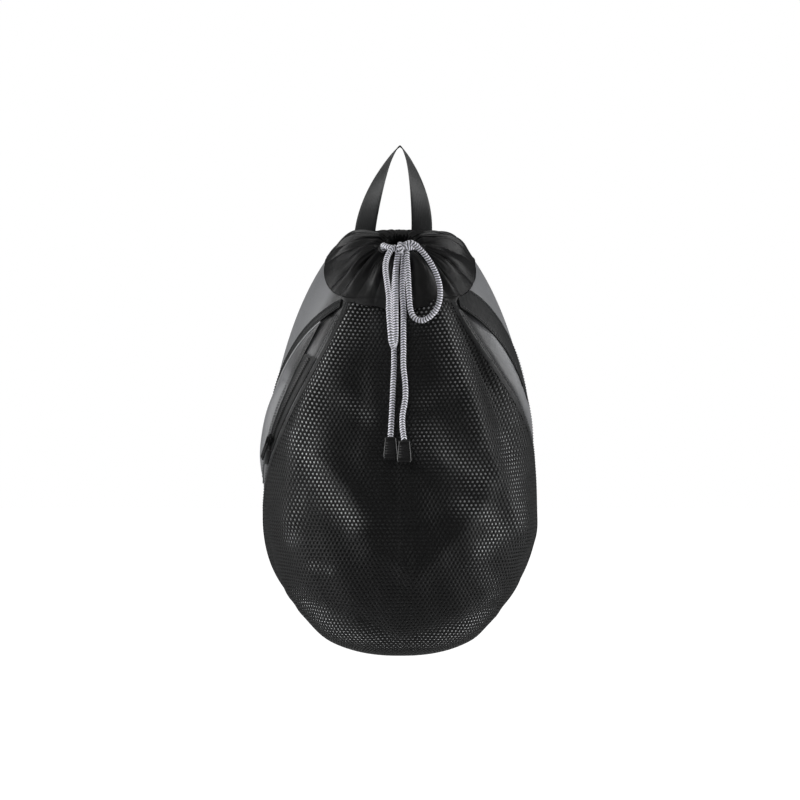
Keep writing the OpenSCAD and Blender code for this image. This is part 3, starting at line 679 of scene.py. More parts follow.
def dome(direction, out):
    d = unit(direction)
    depth = np.where(d[..., 1] < 0, bag["frontDepth"], bag["backDepth"])
    ka = (d[..., 0] * 2 / bag["width"]) ** 2 + (d[..., 1] / depth) ** 2 + (d[..., 2] / crown) ** 2
    lift = eye[2] - bag["widest"]
    kb = 2 * lift * d[..., 2] / crown ** 2
    kc = (lift / crown) ** 2 - 1
    side = (-kb + np.sqrt(kb * kb - 4 * ka * kc)) / (2 * ka)
    top = np.where(d[..., 2] > 0.05, (bag["height"] - eye[2]) / np.maximum(d[..., 2], 0.05), 1e6)
    reach = (side ** -10 + top ** -10) ** -0.1
    return eye + d * (reach + out)[..., None]


mouthAt = dome(np.array([0, -0.5, 0.85]), 0)
mouthUp = np.array([0, math.cos(math.radians(mouth["tilt"])), math.sin(math.radians(mouth["tilt"]))])


def mouthDirection(q, rx, rz):
    a = np.radians(np.asarray(q, float))[..., None]
    return mouthAt + rx * np.sin(a) * [1.0, 0, 0] - rz * np.cos(a) * mouthUp - eye


def mouthPoint(q, rx, rz, out):
    return dome(mouthDirection(q, rx, rz), out)


def channelPoint(q, out):
    # on the ring round the mouth where the drawstring runs
    return mouthPoint(q, mouth["rx"] + mouth["eyeletOut"], mouth["rz"] + mouth["eyeletOut"], out)


def braidRelief(turn, along):
    # strands wind both ways and cross in small chevrons
    pitch = cord["braidPitch"]
    fold = np.abs((turn * 4) % 1 - 0.5) * 2
    strand = ((along / pitch * 2) + fold * 1.3) % 1
    return cord["strandRise"] * (np.sin(np.pi * strand) ** 0.6 - 0.7) + 0.12 * (fold - 0.5)


knotAt = np.array([2.0, -81, 482])
routes = {
    "drawstring_left_loop": [
        (-5, -84, 484), (-11, -88, 480), (-16, -94, 469), (-17, -102, 456), (-15, -111, 441),
        (-13, -119, 425), (-13, -126, 409), (-12, -131, 395), (-11, -133, 383), (-10, -130, 373),
        (-8, -124, 368), (-6, -118, 371), (-5, -114, 382), (-5, -111, 398), (-5, -105, 415),
        (-5, -99, 434), (-5, -92, 451), (-4, -88, 466), (-2, -86, 477),
    ],
    "drawstring_right_loop": [
        (7, -84, 488), (14, -85, 489), (23, -84, 482), (33, -85, 470), (41, -87, 456),
        (46, -91, 441), (47, -95, 427), (44, -99, 414), (37, -102, 404), (27, -104, 398),
        (18, -105, 400), (13, -105, 408), (11, -103, 422), (10, -99, 440), (9, -93, 458),
        (8, -88, 470), (8, -86, 479),
    ],
    "drawstring_left_end": [
        (-1, -77, 476), (-4, -80, 464), (-6, -85, 448), (-7, -92, 428), (-7, -98, 408),
        (-7, -104, 388), (-7, -109, 366), (-7, -114, 344), (-8, -119, 322), (-9, -122, 300),
        (-10, -125, 280), (-11, -128, 262),
    ],
    "drawstring_right_end": [
        (5, -80, 475), (4, -83, 463), (3, -88, 446), (3, -94, 428), (4, -100, 408),
        (4, -106, 388), (4, -111, 366), (4, -116, 344), (6, -120, 324), (6, -123, 306),
        (3, -127, 288), (3, -132, 272), (5, -138, 258),
    ],
}


def cordEnd(name, top):
    # a moulded tapered block with ribs across its face
    heights = np.linspace(0, -cord["endHeight"], 40)
    a = np.linspace(0, 2 * np.pi, 48, endpoint=False)
    rings = []
    for h in heights:
        t = -h / cord["endHeight"]
        size = mix(0.78, 1.0, smooth(t * 1.05)) * (1 - 0.06 * smooth((t - 0.93) / 0.07))
        size = size * (1 - 0.25 * smooth((0.05 - t) / 0.05))
        rib = 0.35 * (0.5 + 0.5 * np.cos(2 * np.pi * h / 3.1))
        rib = rib * smooth((t - 0.12) / 0.06) * smooth((0.8 - t) / 0.06)
        w = cord["endWidth"] / 2 * size
        d = cord["endThick"] / 2 * size - rib
        x = w * np.sign(np.cos(a)) * np.abs(np.cos(a)) ** 0.45
        y = d * np.sign(np.sin(a)) * np.abs(np.sin(a)) ** 0.5
        rings.append(np.stack([x, y, np.full_like(a, h)], -1) + top)
    rings = np.array(rings)
    return addMesh(name, rings, tubeFaces(len(heights), len(a)), "plastic", sharp=55)


cordLengths = {}
for name, route in routes.items():
    line = curve(route, 0.55)
    piece = tube("cord_" + name.replace("drawstring_", ""), line, cord["diameter"] / 2, "braid",
                 sides=24, relief=braidRelief)
    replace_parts(piece, name)
    length = lengthOf(line) / 1000
    cordLengths[name] = round(length, 4)
    if name.endswith("end"):
        side = "left" if "left" in name else "right"
        block = cordEnd(f"{side}_end_block", line[-1])
        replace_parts(block, f"{side}_cord_end")
        extra = {"far_end": "fitting", "with_pieces": [block]}
    else:
        extra = {"far_end": "object"}

# The knot is three turns of the same cord round each other
knotTurns = []
for turnAxis, shift in (((0.25, -0.35, 0.9), (0, 0, -2.6)), ((-0.5, -0.3, 0.8), (0, 0, 2.2)),
                        ((0.85, -0.4, 0.25), (0, -1.5, 0))):
    axis = unit(np.array(turnAxis))
    side = unit(np.cross(axis, [0.1, 1, 0.2]))
    up = np.cross(axis, side)
    a = np.linspace(0, 2 * np.pi, 60)[:, None]
    knotTurns.append(knotAt + shift + 5.6 * (np.cos(a) * side + np.sin(a) * up))
knotPieces = []
for k, line in enumerate(knotTurns):
    knotPieces.append(tube(f"knot_turn_{k}", line, cord["diameter"] / 2 - 0.1, "braid", sides=24,
                           relief=braidRelief, start=knotTurns[k][0] - knotAt))
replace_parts(knotPieces[0], "drawstring_knot")

eyeletAngle = mouth["eyeletAngle"]
leftOut = channelPoint(np.array(-eyeletAngle), np.array(5.0))
rightOut = channelPoint(np.array(eyeletAngle), np.array(5.0))
inside = channelPoint(-np.arange(eyeletAngle, 360 - eyeletAngle + 1, 18.0), np.array(mouth["channel"]))
run = np.concatenate([
    [knotAt + [-3, 4, 0], mix(leftOut, knotAt, 0.35) + [-3, -1, 0], leftOut], inside,
    [rightOut, mix(rightOut, knotAt, 0.35) + [3, -1, 0], knotAt + [3, 4, 0]]])
runPiece = tube("drawstring_through_collar", curve(run, 0.8), cord["diameter"] / 2, "braid", sides=20,
                relief=braidRelief)
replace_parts(runPiece, "drawstring_run")

print("mesh front")
lattice = {"pitch": 5.2, "hole": 1.5, "rise": 0.3, "rim": -0.3, "depth": -0.9, "hem": 5.0}
heights = 425 * np.linspace(0, 1, 320) ** 1.6
angles = np.arange(0, 181, 1.5)
chart = skin(angles[None, :], heights[:, None])
acrossTo = np.concatenate([np.zeros((len(heights), 1)), np.cumsum(np.linalg.norm(
    np.diff(chart, axis=1), axis=-1), axis=1)], axis=1)
upTo = np.concatenate([[0], np.cumsum(np.linalg.norm(np.diff(chart[:, 0], axis=0), axis=-1))])


def unfold(s, t):
    # angle and height of a point, from its distances across and up the cloth
    h = np.interp(t, upTo, heights)
    place = np.clip(np.interp(t, upTo, np.arange(len(heights))), 0, len(heights) - 1.001)
    i = place.astype(int)
    f = place - i
    q = np.empty_like(h)
    for first in range(0, len(s), 20000):
        part = slice(first, first + 20000)
        row = acrossTo[i[part]] * (1 - f[part, None]) + acrossTo[i[part] + 1] * f[part, None]
        reach = np.abs(s[part])
        k = np.clip((row < reach[:, None]).sum(1) - 1, 0, len(angles) - 2)
        a = row[np.arange(len(k)), k]
        b = row[np.arange(len(k)), k + 1]
        q[part] = angles[k] + (reach - a) / np.maximum(b - a, 1e-6) * 1.5
    return q * np.sign(s), h


def latticeHalf(side):
    # hexagonal net: shared corners stand proud and each hole is sunk
    pitch = lattice["pitch"]
    rowStep = pitch * math.sqrt(3) / 2
    rows = int(upTo[-1] / rowStep)
    columns = int(acrossTo.max() / pitch) + 1
    j, i = np.meshgrid(np.arange(rows), np.arange(columns), indexing="ij")
    s = ((i + 0.5 * (j % 2)) * pitch).ravel()
    t = ((j + 0.5) * rowStep).ravel()
    if side < 0:
        keep = s > 1e-6
        s = -s[keep]
        t = t[keep]
    q, h = unfold(s, t)
    edge = frontSeam(h, fullHeight[side])
    inside = (edge - np.abs(q)) * mmPerDegree
    keep = (np.abs(q) < np.minimum(edge, 178)) & (inside > 1.5) & (h > 1.0) & (h < 424) & (np.abs(q) < 178)
    s = s[keep]
    t = t[keep]
    a = np.radians(30 + 60 * np.arange(6))
    radius = pitch / math.sqrt(3)
    cornerS = s[:, None] + radius * np.cos(a)
    cornerT = t[:, None] + radius * np.sin(a)
    keys = np.stack([np.round(cornerS / (pitch / 2)), np.round(cornerT / (radius / 4))], -1).reshape(-1, 2)
    _, first, shared = np.unique(keys, axis=0, return_index=True, return_inverse=True)
    shared = shared.reshape(-1)
    holeS = s[:, None] + lattice["hole"] * np.cos(a)
    holeT = t[:, None] + lattice["hole"] * np.sin(a)
    wide = 0.86
    bottomS = s[:, None] + lattice["hole"] * wide * np.cos(a)
    bottomT = t[:, None] + lattice["hole"] * wide * np.sin(a)
    allS = np.concatenate([cornerS.ravel()[first], holeS.ravel(), bottomS.ravel()])
    allT = np.concatenate([cornerT.ravel()[first], holeT.ravel(), bottomT.ravel()])
    q, h = unfold(allS, np.clip(allT, 0.2, upTo[-1]))
    out = np.concatenate([np.full(len(first), lattice["rise"]), np.full(holeS.size, lattice["rim"]),
                          np.full(bottomS.size, lattice["depth"])])
    points = lifted(q, h, out + frontFold(q, h))
    count = len(s)
    corner = shared.reshape(count, 6)
    hole = len(first) + np.arange(count * 6).reshape(count, 6)
    bottom = hole + count * 6
    following = np.roll(np.arange(6), -1)
    faces = np.concatenate([
        np.stack([corner, corner[:, following], hole[:, following], hole], -1).reshape(-1, 4),
        np.stack([hole, hole[:, following], bottom[:, following], bottom], -1).reshape(-1, 4)])
    return points, faces


netPieces = []
for side, name in ((-1, "mesh_front_left"), (1, "mesh_front_right")):
    points, faces = latticeHalf(side)
    netPieces.append(addMesh(name, points, faces, "mesh", sharp=0, tidy=False))
    print(name, len(faces))

backingRows = np.concatenate([[0.2, 1, 3, 7], np.linspace(11, 424.6, 130)])
h = backingRows[:, None]
u = np.linspace(0, 1, 121)[None, :]
q = mix(-frontSeam(h, fullHeight[-1]) + 0.4, frontSeam(h, fullHeight[1]) - 0.4, u)
h = h + 0 * u
fold = frontFold(q, h)
backing = slab("mesh_backing", lifted(q, h, -1.1 + fold), lifted(q, h, -1.5 + fold), "backing")

# Painted light on the backing: lines in x and height where it is painted pale, with their strength and width
paintedLightLines = [
    ([(-52, 425), (-72, 385), (-90, 345), (-101, 300), (-108, 262), (-103, 224)], 0.85, 15),
    ([(-44, 420), (-58, 385)], 0.6, 16),
    ([(-66, 305), (-40, 286)], 0.5, 9),
    ([(-118, 262), (-104, 222), (-84, 190), (-56, 164)], 1.0, 12),
    ([(-112, 200), (-131, 142)], 0.5, 9),
    ([(-104, 110), (-84, 105)], 0.5, 6),
    ([(24, 418), (48, 398), (62, 360), (70, 325)], 0.65, 14),
    ([(72, 330), (84, 290), (96, 250)], 0.35, 9),
    ([(30, 305), (52, 318)], 0.22, 12),
    ([(34, 262), (58, 245), (92, 212)], 0.62, 17),
    ([(76, 182), (104, 168), (118, 150), (96, 128)], 0.85, 11),
    ([(128, 262), (136, 215), (138, 162)], 0.6, 11),
    ([(120, 320), (134, 280)], 0.3, 10),
    ([(148, 138), (154, 132)], 0.3, 6),
    ([(-124, 66), (-96, 42), (-62, 25), (-20, 12), (14, 10), (54, 20), (96, 44), (118, 64)], 1.0, 12),
    ([(90, 110), (112, 84)], 0.3, 12),
]
p = skin(q, h)
paintedLightHere = 0 * q
for line, strength, width in paintedLightLines:
    paintedLightHere = np.maximum(paintedLightHere, ridge(p[..., 0], p[..., 2], line, strength, width))
# a faint uneven painted light everywhere else
faint = 0.015 + 0.015 * np.sin(p[..., 0] / 19 + p[..., 2] / 27) * np.sin(p[..., 2] / 33 - p[..., 0] / 51)
paintedLightHere = np.maximum(paintedLightHere, faint)
paintPoints(backing, "painted_light_patches", paintedLightHere)
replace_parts(netPieces[0], "mesh_panel")

# Solid hems where the net is sewn into its seams
hems = []
for side, name in ((-1, "mesh_hem_left"), (1, "mesh_hem_right")):
    h = np.concatenate([np.linspace(14, 60, 24), np.linspace(63, 425, 120)])[:, None]
    edge = frontSeam(h, fullHeight[side])
    u = np.linspace(0, 1, 5)[None, :]
    q = side * (edge - 0.15 - u * lattice["hem"] / mmPerDegree)
    h = h + 0 * u
    rise = frontFold(q, h) + 0.5 - 0.25 * u
    hems.append(slab(name, lifted(q, h, rise), lifted(q, h, rise - 0.9), "black"))

print("side panels")
slope = {"top": 429, "fall": 0.55, "start": 33, "power": 1.37}


def bandHeight(q):
    return slope["top"] - slope["fall"] * np.clip(q - slope["start"], 0, None) ** slope["power"]


side = {"cloth": 1.2, "hollow": 5.5, "puff": 3.0, "wrinkle": 0.7, "flatAbove": 240}


def sideFold(sign):
    def rise(q, h):
        front = frontSeam(h, fullHeight[sign])
        back = backSeam(h)
        u = np.clip((np.abs(q) - front) / np.maximum(back - front, 1), 0, 1)
        x = (np.abs(q) - front) * mmPerDegree
        edge = smooth(x / 14) * smooth((back - np.abs(q)) * mmPerDegree / 16) * smooth((h - 62) / 30)
        if sign < 0:
            # a deep fold drops from the collar beside the seam
            hollow = -side["hollow"] * np.exp(-((x - 20) / 13) ** 2) * smooth((h - 250) / 120)
            low = -2.5 * np.exp(-((x - 16) / 12) ** 2) * smooth((250 - h) / 90)
        else:
            hollow = -side["hollow"] * 0.7 * np.exp(-((x - 16) / 11) ** 2) * smooth((h - 230) / 110)
            low = -1.5 * np.exp(-((x - 14) / 11) ** 2) * smooth((240 - h) / 90)
        puff = side["puff"] * np.sin(np.pi * u) ** 2
        wrinkle = side["wrinkle"] * (np.sin(h / 17 + x / 9) * np.sin(x / 14 - h / 41)
                                     + 0.5 * np.sin(h / 7.5 - x / 11))
        return (hollow + low + puff + wrinkle) * edge * smooth((430 - h) / 25)
    return rise


sidePieces = {}
for sign, name in ((-1, "left_side_cloth"), (1, "right_side_cloth")):
    rows = np.concatenate([np.linspace(60.5, 110, 30), np.linspace(112, 425, 150)])[:, None]
    u = np.linspace(0, 1, 61)[None, :]
    q = mix(frontSeam(rows, fullHeight[sign]) + 0.1, backSeam(rows) - 0.1, u)
    h = rows + 0 * u
    rise = sideFold(sign)(q, h)
    # under the bands, the pocket and the zip the cloth lies flat
    covered = (h > side["flatAbove"]) & (sign < 0)
    flat = np.where(covered, 1 - 0.75 * smooth((np.abs(q) - frontSeam(h, fullHeight[sign]) - 3) / 8), 1.0)
    rise = np.minimum(rise * flat, np.where(h > 330, 0.0, 9.0)) if sign < 0 else rise
    underBand = bandHeight(np.abs(q)) - 16
    rise = np.where(h > underBand - 8, np.minimum(rise, 0.0), rise)
    flip = np.array([sign, 1, 1])
    sidePieces[sign] = slab(name, lifted(q, h, rise) * flip, lifted(q, h, rise - side["cloth"]) * flip,
                            "grey")
    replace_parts(sidePieces[sign], name.replace("cloth", "panel"))
    # painted shade: the satin is painted darker towards its front seam, most strongly high up near the collar
    away = (np.abs(q) - frontSeam(h, fullHeight[sign])) * mmPerDegree
    if sign < 0:
        upper = mix(0.03, 1, smooth((away - 17 + 0.06 * (h - 400)) / 22))
        lower = mix(0.3, 1, smooth((away - 2) / 26))
        paintedLightLevel = mix(lower, upper, smooth((h - 340) / 50))
    else:
        upper = mix(0.02, 1, smooth((away - 5) / 27))
        lower = mix(0.1, 1, smooth((away - 2) / 30))
        paintedLightLevel = mix(lower, upper, smooth((h - 250) / 90))
    paintPoints(sidePieces[sign], "painted_light_level", paintedLightLevel)

print("bands")
bands = {
    "right": 25, "left": 9, "thick": 1.2, "start": 36, "end": 128, "stitchInset": 2.2,
    "below": 12.5, "proud": 0.4,
}


def bandSlant(q):
    steep = slope["fall"] * slope["power"] * np.clip(q - slope["start"], 0, None) ** (slope["power"] - 1)
    return np.sqrt(1 + (steep / mmPerDegree) ** 2)


def bandLow(q):
    return bandHeight(q) - bands["below"] * bandSlant(q)


bandQ = np.linspace(bands["start"], bands["end"], 120)
for name, sign in (("left", -1), ("right", 1)):
    width = bands[name]
    flip = np.array([sign, 1, 1])
    v = np.linspace(0, 1, 13)[:, None]
    q = bandQ[None, :] + 0 * v
    h = np.minimum(bandLow(q) + v * width * bandSlant(q), bag["collarFront"] - 0.8)
    swell = 0.35 * np.sin(np.pi * v) ** 0.6 + 0.12 * np.sin(q * 1.9 + v * 3) * np.sin(np.pi * v)
    top = lifted(q, h, bands["proud"] + bands["thick"] + swell) * flip
    bottom = lifted(q, h, bands["proud"] + 0 * q) * flip
    piece = slab(f"{name}_band_cloth", top, bottom, "black")
    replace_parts(piece, f"{name}_band")
    for k, shareUp in enumerate((bands["stitchInset"] / width, 1 - bands["stitchInset"] / width)):
        lineQ = bandQ[2:-2]
        lineH = bandLow(lineQ) + shareUp * width * bandSlant(lineQ)
        lineQ = lineQ[lineH < 421]
        lineH = lineH[lineH < 421]
        stitches(f"{name}_band_stitch_{k}", lifted(lineQ, lineH, 1.95 + 0 * lineQ) * flip,
                 outward(lineQ, lineH) * flip, "threadGrey" if name == "right" else "thread")

# Two rows of stitching run down each side seam
for sign, name in ((-1, "left"), (1, "right")):
    flip = np.array([sign, 1, 1])
    lineH = np.linspace(70, 405, 160)
    for k, inset in enumerate((3.0, 6.4)):
        lineQ = frontSeam(lineH, fullHeight[sign]) + inset / mmPerDegree
        rise = sideFold(sign)(lineQ, lineH)
        stitches(f"{name}_seam_stitch_{k}", lifted(lineQ, lineH, np.minimum(rise, 9) + 0.15) * flip,
                 outward(lineQ, lineH) * flip, "threadGrey")

print("pocket and zip")
zipper = {"inset": 5.4, "tape": 20, "tabWidth": 16, "low": 240, "length": 109}
pocket = {"low": 200, "bulge": 5, "puff": 1.5, "piping": 2.4, "back": 103, "teeth": 1.5}


def zipQ(h):
    return frontSeam(h, fullHeight[-1]) + zipper["inset"]


besideZip = zipper["tape"] / 2 / mmPerDegree + 0.4
pocketFront = float(zipQ(390)) + besideZip


def pocketTop(q):
    return bandLow(q) - (pocket["piping"] + 1) * bandSlant(q)


def pocketPoint(u, v, out):
    frontH = mix(pocket["low"], pocketTop(np.array(pocketFront)), v)
    frontQ = np.minimum(zipQ(frontH) + besideZip, 200)
    h = mix(pocket["low"], pocketTop(mix(pocketFront, pocket["back"], u)), v)
    q = mix(frontQ, pocket["back"], u)
    bulge = pocket["bulge"] * np.sin(np.pi * u) * np.sin(np.pi * v)
    return q, h, out + 0.4 + bulge


v = np.linspace(0, 1, 81)[:, None]
u = np.linspace(0, 1, 61)[None, :]
q, h, out = pocketPoint(u, v, 0)
p = skin(q, h)
edge = np.clip(np.sin(np.pi * u) * np.sin(np.pi * v) * 3, 0, 1)
crumple = (0.8 * np.sin(h / 11 + q / 4) * np.sin(q / 7 - h / 29) + pocket["puff"] * np.sin(np.pi * u) ** 0.7
           * np.sin(np.pi * v) ** 0.7)
dent = ridge(p[..., 0] * -1, h, [(-100, 372), (-118, 353), (-136, 322)], -4.5, 9)
rise = (crumple + dent) * edge
flip = np.array([-1, 1, 1])
pocketPiece = slab("side_pocket", lifted(q, h, np.maximum(out + rise, 0.45) + 1.2) * flip,
                   lifted(q, h, np.maximum(out + rise, 0.45)) * flip, "pocket")
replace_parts(pocketPiece, "pocket_panel")
# painted shade on the pocket: darker along two fold lines and towards its front edge by the zip
shade = 1 - np.clip(ridge(p[..., 0] * -1, h, [(-92, 380), (-104, 362), (-116, 348), (-122, 330)], 0.93, 10)
                    + ridge(p[..., 0] * -1, h, [(-108, 340), (-124, 300), (-136, 262)], 0.55, 7), 0, 0.95)
paintPoints(pocketPiece, "painted_light_level", shade * mix(0.55, 1.0, smooth(u / 0.22)))
for k, inset in enumerate((0.035, 0.07)):
    t = np.linspace(0.04, 0.96, 150)
    q, h, out = pocketPoint(inset + 0 * t, t, 1.35)
    stitches(f"pocket_front_stitch_{k}", lifted(q, h, out + 0.15) * flip, outward(q, h) * flip, "threadGrey")

t = np.linspace(0, 1, 90)
q = mix(pocketFront, pocket["back"] - 1, t)
h = pocketTop(q) + (pocket["piping"] / 2 + 0.6) * bandSlant(q)
pipe = lifted(q, h, 0.4 + pocket["piping"] / 2) * flip
piece = tube("pocket_top_piping", pipe, pocket["piping"] / 2, "piping", sides=14)
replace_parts(piece, "pocket_piping")


def zipStrip(name, low, high, width, inner, outer, paint, rows=80, columns=6, swell=0.0):
    h = np.linspace(low, high, rows)[:, None]
    u = np.linspace(-1, 1, columns + 1)[None, :]
    q = zipQ(h) + u * width / 2 / mmPerDegree
    h = h + 0 * u
    rise = swell * (1 - u ** 2)
    return slab(name, lifted(q, h, outer + rise + 0 * h) * flip, lifted(q, h, inner + 0 * h) * flip, paint)


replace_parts(zipStrip("zip_cloth", 238, 350, zipper["tape"], 0.4, 1.0, "black"), "zip_tape")
endCover = zipStrip("zip_end_cover", 222, 237.4, zipper["tabWidth"], 0.4, 1.8, "black", 20)
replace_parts(endCover, "zip_end_tab")
for k, shareAcross in enumerate((-0.82, 0.82)):
    lineH = np.linspace(240, 348, 100)
    lineQ = zipQ(lineH) + shareAcross * zipper["tape"] / 2 / mmPerDegree
    stitches(f"zip_cloth_stitch_{k}", lifted(lineQ, lineH, 1.1 + 0 * lineH) * flip,
             outward(lineQ, lineH) * flip, "thread", long=2.0, gap=0.9, thick=0.25)

# Interlocked teeth, alternating from each side of the zip
count = int(zipper["length"] / pocket["teeth"])
teethH = zipper["low"] + pocket["teeth"] * np.arange(count)
base = zipQ(teethH)
points = []
for k, (hk, qk) in enumerate(zip(teethH, base)):
    centre = 0.9 if k % 2 else -0.9
    for out in (1.4, 2.9):
        tip = 0.8 if out > 2 else 1.0
        for dx, dh in ((-1, -1), (1, -1), (1, 1), (-1, 1)):
            points.append((qk + (centre + dx * 2.0 * tip) / mmPerDegree, hk + dh * 0.52 * tip, out))
points = np.array(points)
teethPoints = lifted(points[:, 0], points[:, 1], points[:, 2]) * flip
one = np.array([[0, 1, 2, 3], [4, 5, 6, 7], [0, 1, 5, 4], [1, 2, 6, 5], [2, 3, 7, 6], [3, 0, 4, 7]])
faces = (one[None] + 8 * np.arange(count)[:, None, None]).reshape(-1, 4)
teeth = addMesh("zip_teeth", teethPoints, faces, "coil", sharp=20)
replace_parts(teeth, "zip_coil")
soften = teeth.modifiers.new("soften", "BEVEL")
soften.width = 0.0002
soften.segments = 2
carried("zip_slider", "plastic", 0.0003)
carried("zip_pull", "plastic", 0.0004)

print("collar")
collar = {"pleats": 25, "depth": 7.5, "drop": 11, "thick": 1.2, "columns": 720, "rows": 90}


def pleatPhase(q):
    # uneven spacing, the same on every run
    a = np.radians(q)
    return (collar["pleats"] * a + 1.7 * np.sin(2 * a + 0.6) + 1.1 * np.sin(5 * a + 2.1)
            + 0.9 * np.sin(9 * a + 0.4) + 0.5 * np.sin(14 * a + 4.0))


def pleats(q, v):
    a = np.radians(q)
    wander = 0.35 * np.sin(3 * a + 5 * v) + 0.5 * v * np.sin(7 * a + 1.3)
    f = pleatPhase(q) + wander
    rounded = np.abs(np.sin(f / 2)) ** 0.7
    fine = 0.2 * np.abs(np.sin(f * 1.5 + 2 * v)) * smooth((v - 0.3) / 0.4)
    small = 0.16 * np.sin(f * 0.7 + 9 * v + 2 * np.sin(4 * a))
    fine = fine + small * smooth(v / 0.3) * smooth((0.9 - v) / 0.2)
    tall = 0.72 + 0.28 * np.sin(2.3 * f / 3 + 1.1)
    grow = mix(0.2, 1.0, smooth(v / 0.6)) * (1 - 0.35 * smooth((v - 0.9) / 0.1))
    return collar["depth"] * grow * (rounded * tall + fine)


def collarGrid(out):
    q = np.linspace(-180, 180, collar["columns"], endpoint=False)[None, :]
    v = np.linspace(0.0, 1.0, collar["rows"])[:, None] ** 0.85
    edge = skin(q, 425) - eye
    hole = mouthDirection(q, mouth["rx"], mouth["rz"])
    direction = edge + (hole - edge) * v[..., None]
    rise = pleats(q, v) + 0.3
    # flat where the eyelets sit and where the hems of the handle and straps cross
    for s in (-1, 1):
        spot = channelPoint(np.array(float(s * eyeletAngle)), np.array(0.0))
        away = np.linalg.norm(dome(direction, 0) - spot, axis=-1)
        rise = mix(0.15, rise, smooth((away - 6.5) / 5))
    behind = smooth((np.abs(q) - 118) / 20)
    rise = rise * (1 - behind * 0.85)
    body = dome(direction, out + rise)
    # the lower edge hangs over the net
    drop = collar["drop"] * np.exp(-(q / 26) ** 2) + 2.0 + 1.6 * np.sin(np.radians(q) * 13) ** 2
    drop = drop * (1 - smooth((np.abs(q) - 32) / 8) * 0.85)
    t = np.linspace(1, 0, 9)[:-1, None]
    rise0 = pleats(q, 0 * q) + 0.3
    low = lifted(q, 425 - drop * t, out + (rise0 + 0.5) * mix(1, 0.5, t))
    return np.concatenate([low, body])


outer = collarGrid(0.0)
inner = collarGrid(-collar["thick"])
# the cloth turns down into the mouth
q = np.linspace(-180, 180, collar["columns"], endpoint=False)[None, :]
turnIn = []
for t in np.linspace(0.12, 1, 9):
    squeeze = 1 - 0.16 * t
    deep = pleats(q, 1.0 + 0 * q) * (1 - 0.5 * t) + 0.3 - 7.5 * t ** 1.4
    turnIn.append(mouthPoint(q, mouth["rx"] * squeeze, mouth["rz"] * squeeze, deep)[0])
turnIn = np.array(turnIn)
outer = np.concatenate([outer, turnIn])
inner = np.concatenate([inner, turnIn + unit(turnIn - mouthAt) * 0.9])
collarPiece = slab("collar_cloth", outer, inner, "satin", wrap=True, sharp=70)
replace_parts(collarPiece, "collar")

q = np.linspace(-180, 180, 241)[None, :][:, :-1]
v = np.linspace(0.72, 0.97, 16)[:, None]
direction = (skin(q, 425) - eye) + (mouthDirection(q, mouth["rx"], mouth["rz"])
                                    - (skin(q, 425) - eye)) * v[..., None]
waveIn = 0.35 * np.abs(np.sin(pleatPhase(q))) + 0 * v
facing = slab("collar_channel", dome(direction, -8.9 - waveIn), dome(direction, -9.7 - waveIn), "black",
              wrap=True)
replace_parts(facing, "collar_facing")
for side in ("left", "right"):
    carried(f"{side}_eyelet", "plastic", 0.0004, 3)

print("back")
back = {"channel": 2.6, "puff": 3.2, "pitch": 62}


def backFold(q, h):
    # a padded back with sewn channels
    x = (q - 180) * mmPerDegree * 0.83
    inside = np.minimum(smooth((h - 70) / 30), smooth((418 - h) / 20))
    inside = inside * smooth((46 - np.abs(q - 180)) / 10)
    columns = np.abs(np.cos(np.pi * x / back["pitch"])) ** 0.55
    rows = np.abs(np.sin(np.pi * (h - 95) / 78)) ** 0.35
    padding = back["puff"] * columns * rows - 0.8
    wrinkle = 0.35 * np.sin(h / 9 + x / 13) * np.sin(x / 17 - h / 31)
    return np.minimum(padding + wrinkle, back["channel"]) * inside


backSplits = np.linspace(0, 1, 121)[None, :]
h = np.concatenate([np.linspace(12.5, 60, 30), np.linspace(62, 425, 170)])[:, None]
q = mix(backSeam(h) + 0.1, 360 - backSeam(h) - 0.1, backSplits)
h = h + 0 * q
rise = np.minimum(backFold(q, h), 0.3)
backPiece = slab("back_cloth", lifted(q, h, rise), lifted(q, h, rise - 1.2), "spacer")
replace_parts(backPiece, "back_panel")
for name, node, low, high, q0, q1, outerOut, innerOut, paint in (
        ("foam_sheet", "back_foam", 95, 409, 142, 218, -2.2, -8.9, "foam"),
        ("lining_cloth", "back_lining", 88, 416, 140, 220, -9.6, -10.8, "black")):
    h = np.linspace(low, high, 50)[:, None]
    q = np.linspace(q0, q1, 30)[None, :] + 0 * h
    h = h + 0 * q
    ripple = 0.12 * np.sin(h / 19) * np.sin(q / 7)
    piece = slab(name, lifted(q, h, outerOut - 0.12 + ripple), lifted(q, h, innerOut + 0.12 + ripple), paint)
    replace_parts(piece, node)
for side in ("left", "right"):
    for place in ("front", "back"):
        carried(f"{side}_{place}_seam_tape", "black", 0)

print("handle")
handle = {"x": -8, "span": 34, "footY": 34, "tabGap": 0.95, "width": 25, "thick": 1.4, "height": 101}
footZ = bag["height"] - 2
peakZ = bag["height"] + handle["height"] - handle["thick"] / 2


def handleLeg(side, t):
    t = np.asarray(t, float)
    p = np.stack([mix(handle["x"], 0, t) + side * handle["span"] * (1 - t ** 1.6) ** 0.75,
                  mix(handle["footY"], bag["peakY"], t), mix(footZ, peakZ, t)], -1)
    turn = np.radians(90 * t ** 1.1)
    return p, np.stack([np.cos(turn), side * np.sin(turn), 0 * t], -1)


def tabLine(side):
    x = handle["x"] + side * handle["span"]
    near = max(0, abs(x) - handle["width"] / 2)
    z = np.array([476.0, 483, 491])
    y = backAt(near, z, 3.6)[:, 1]
    line = [(x, y[k], z[k]) for k in range(3)]
    return np.array(line + [(x, handle["footY"], footZ - 6), (x, handle["footY"], footZ - handle["tabGap"])])


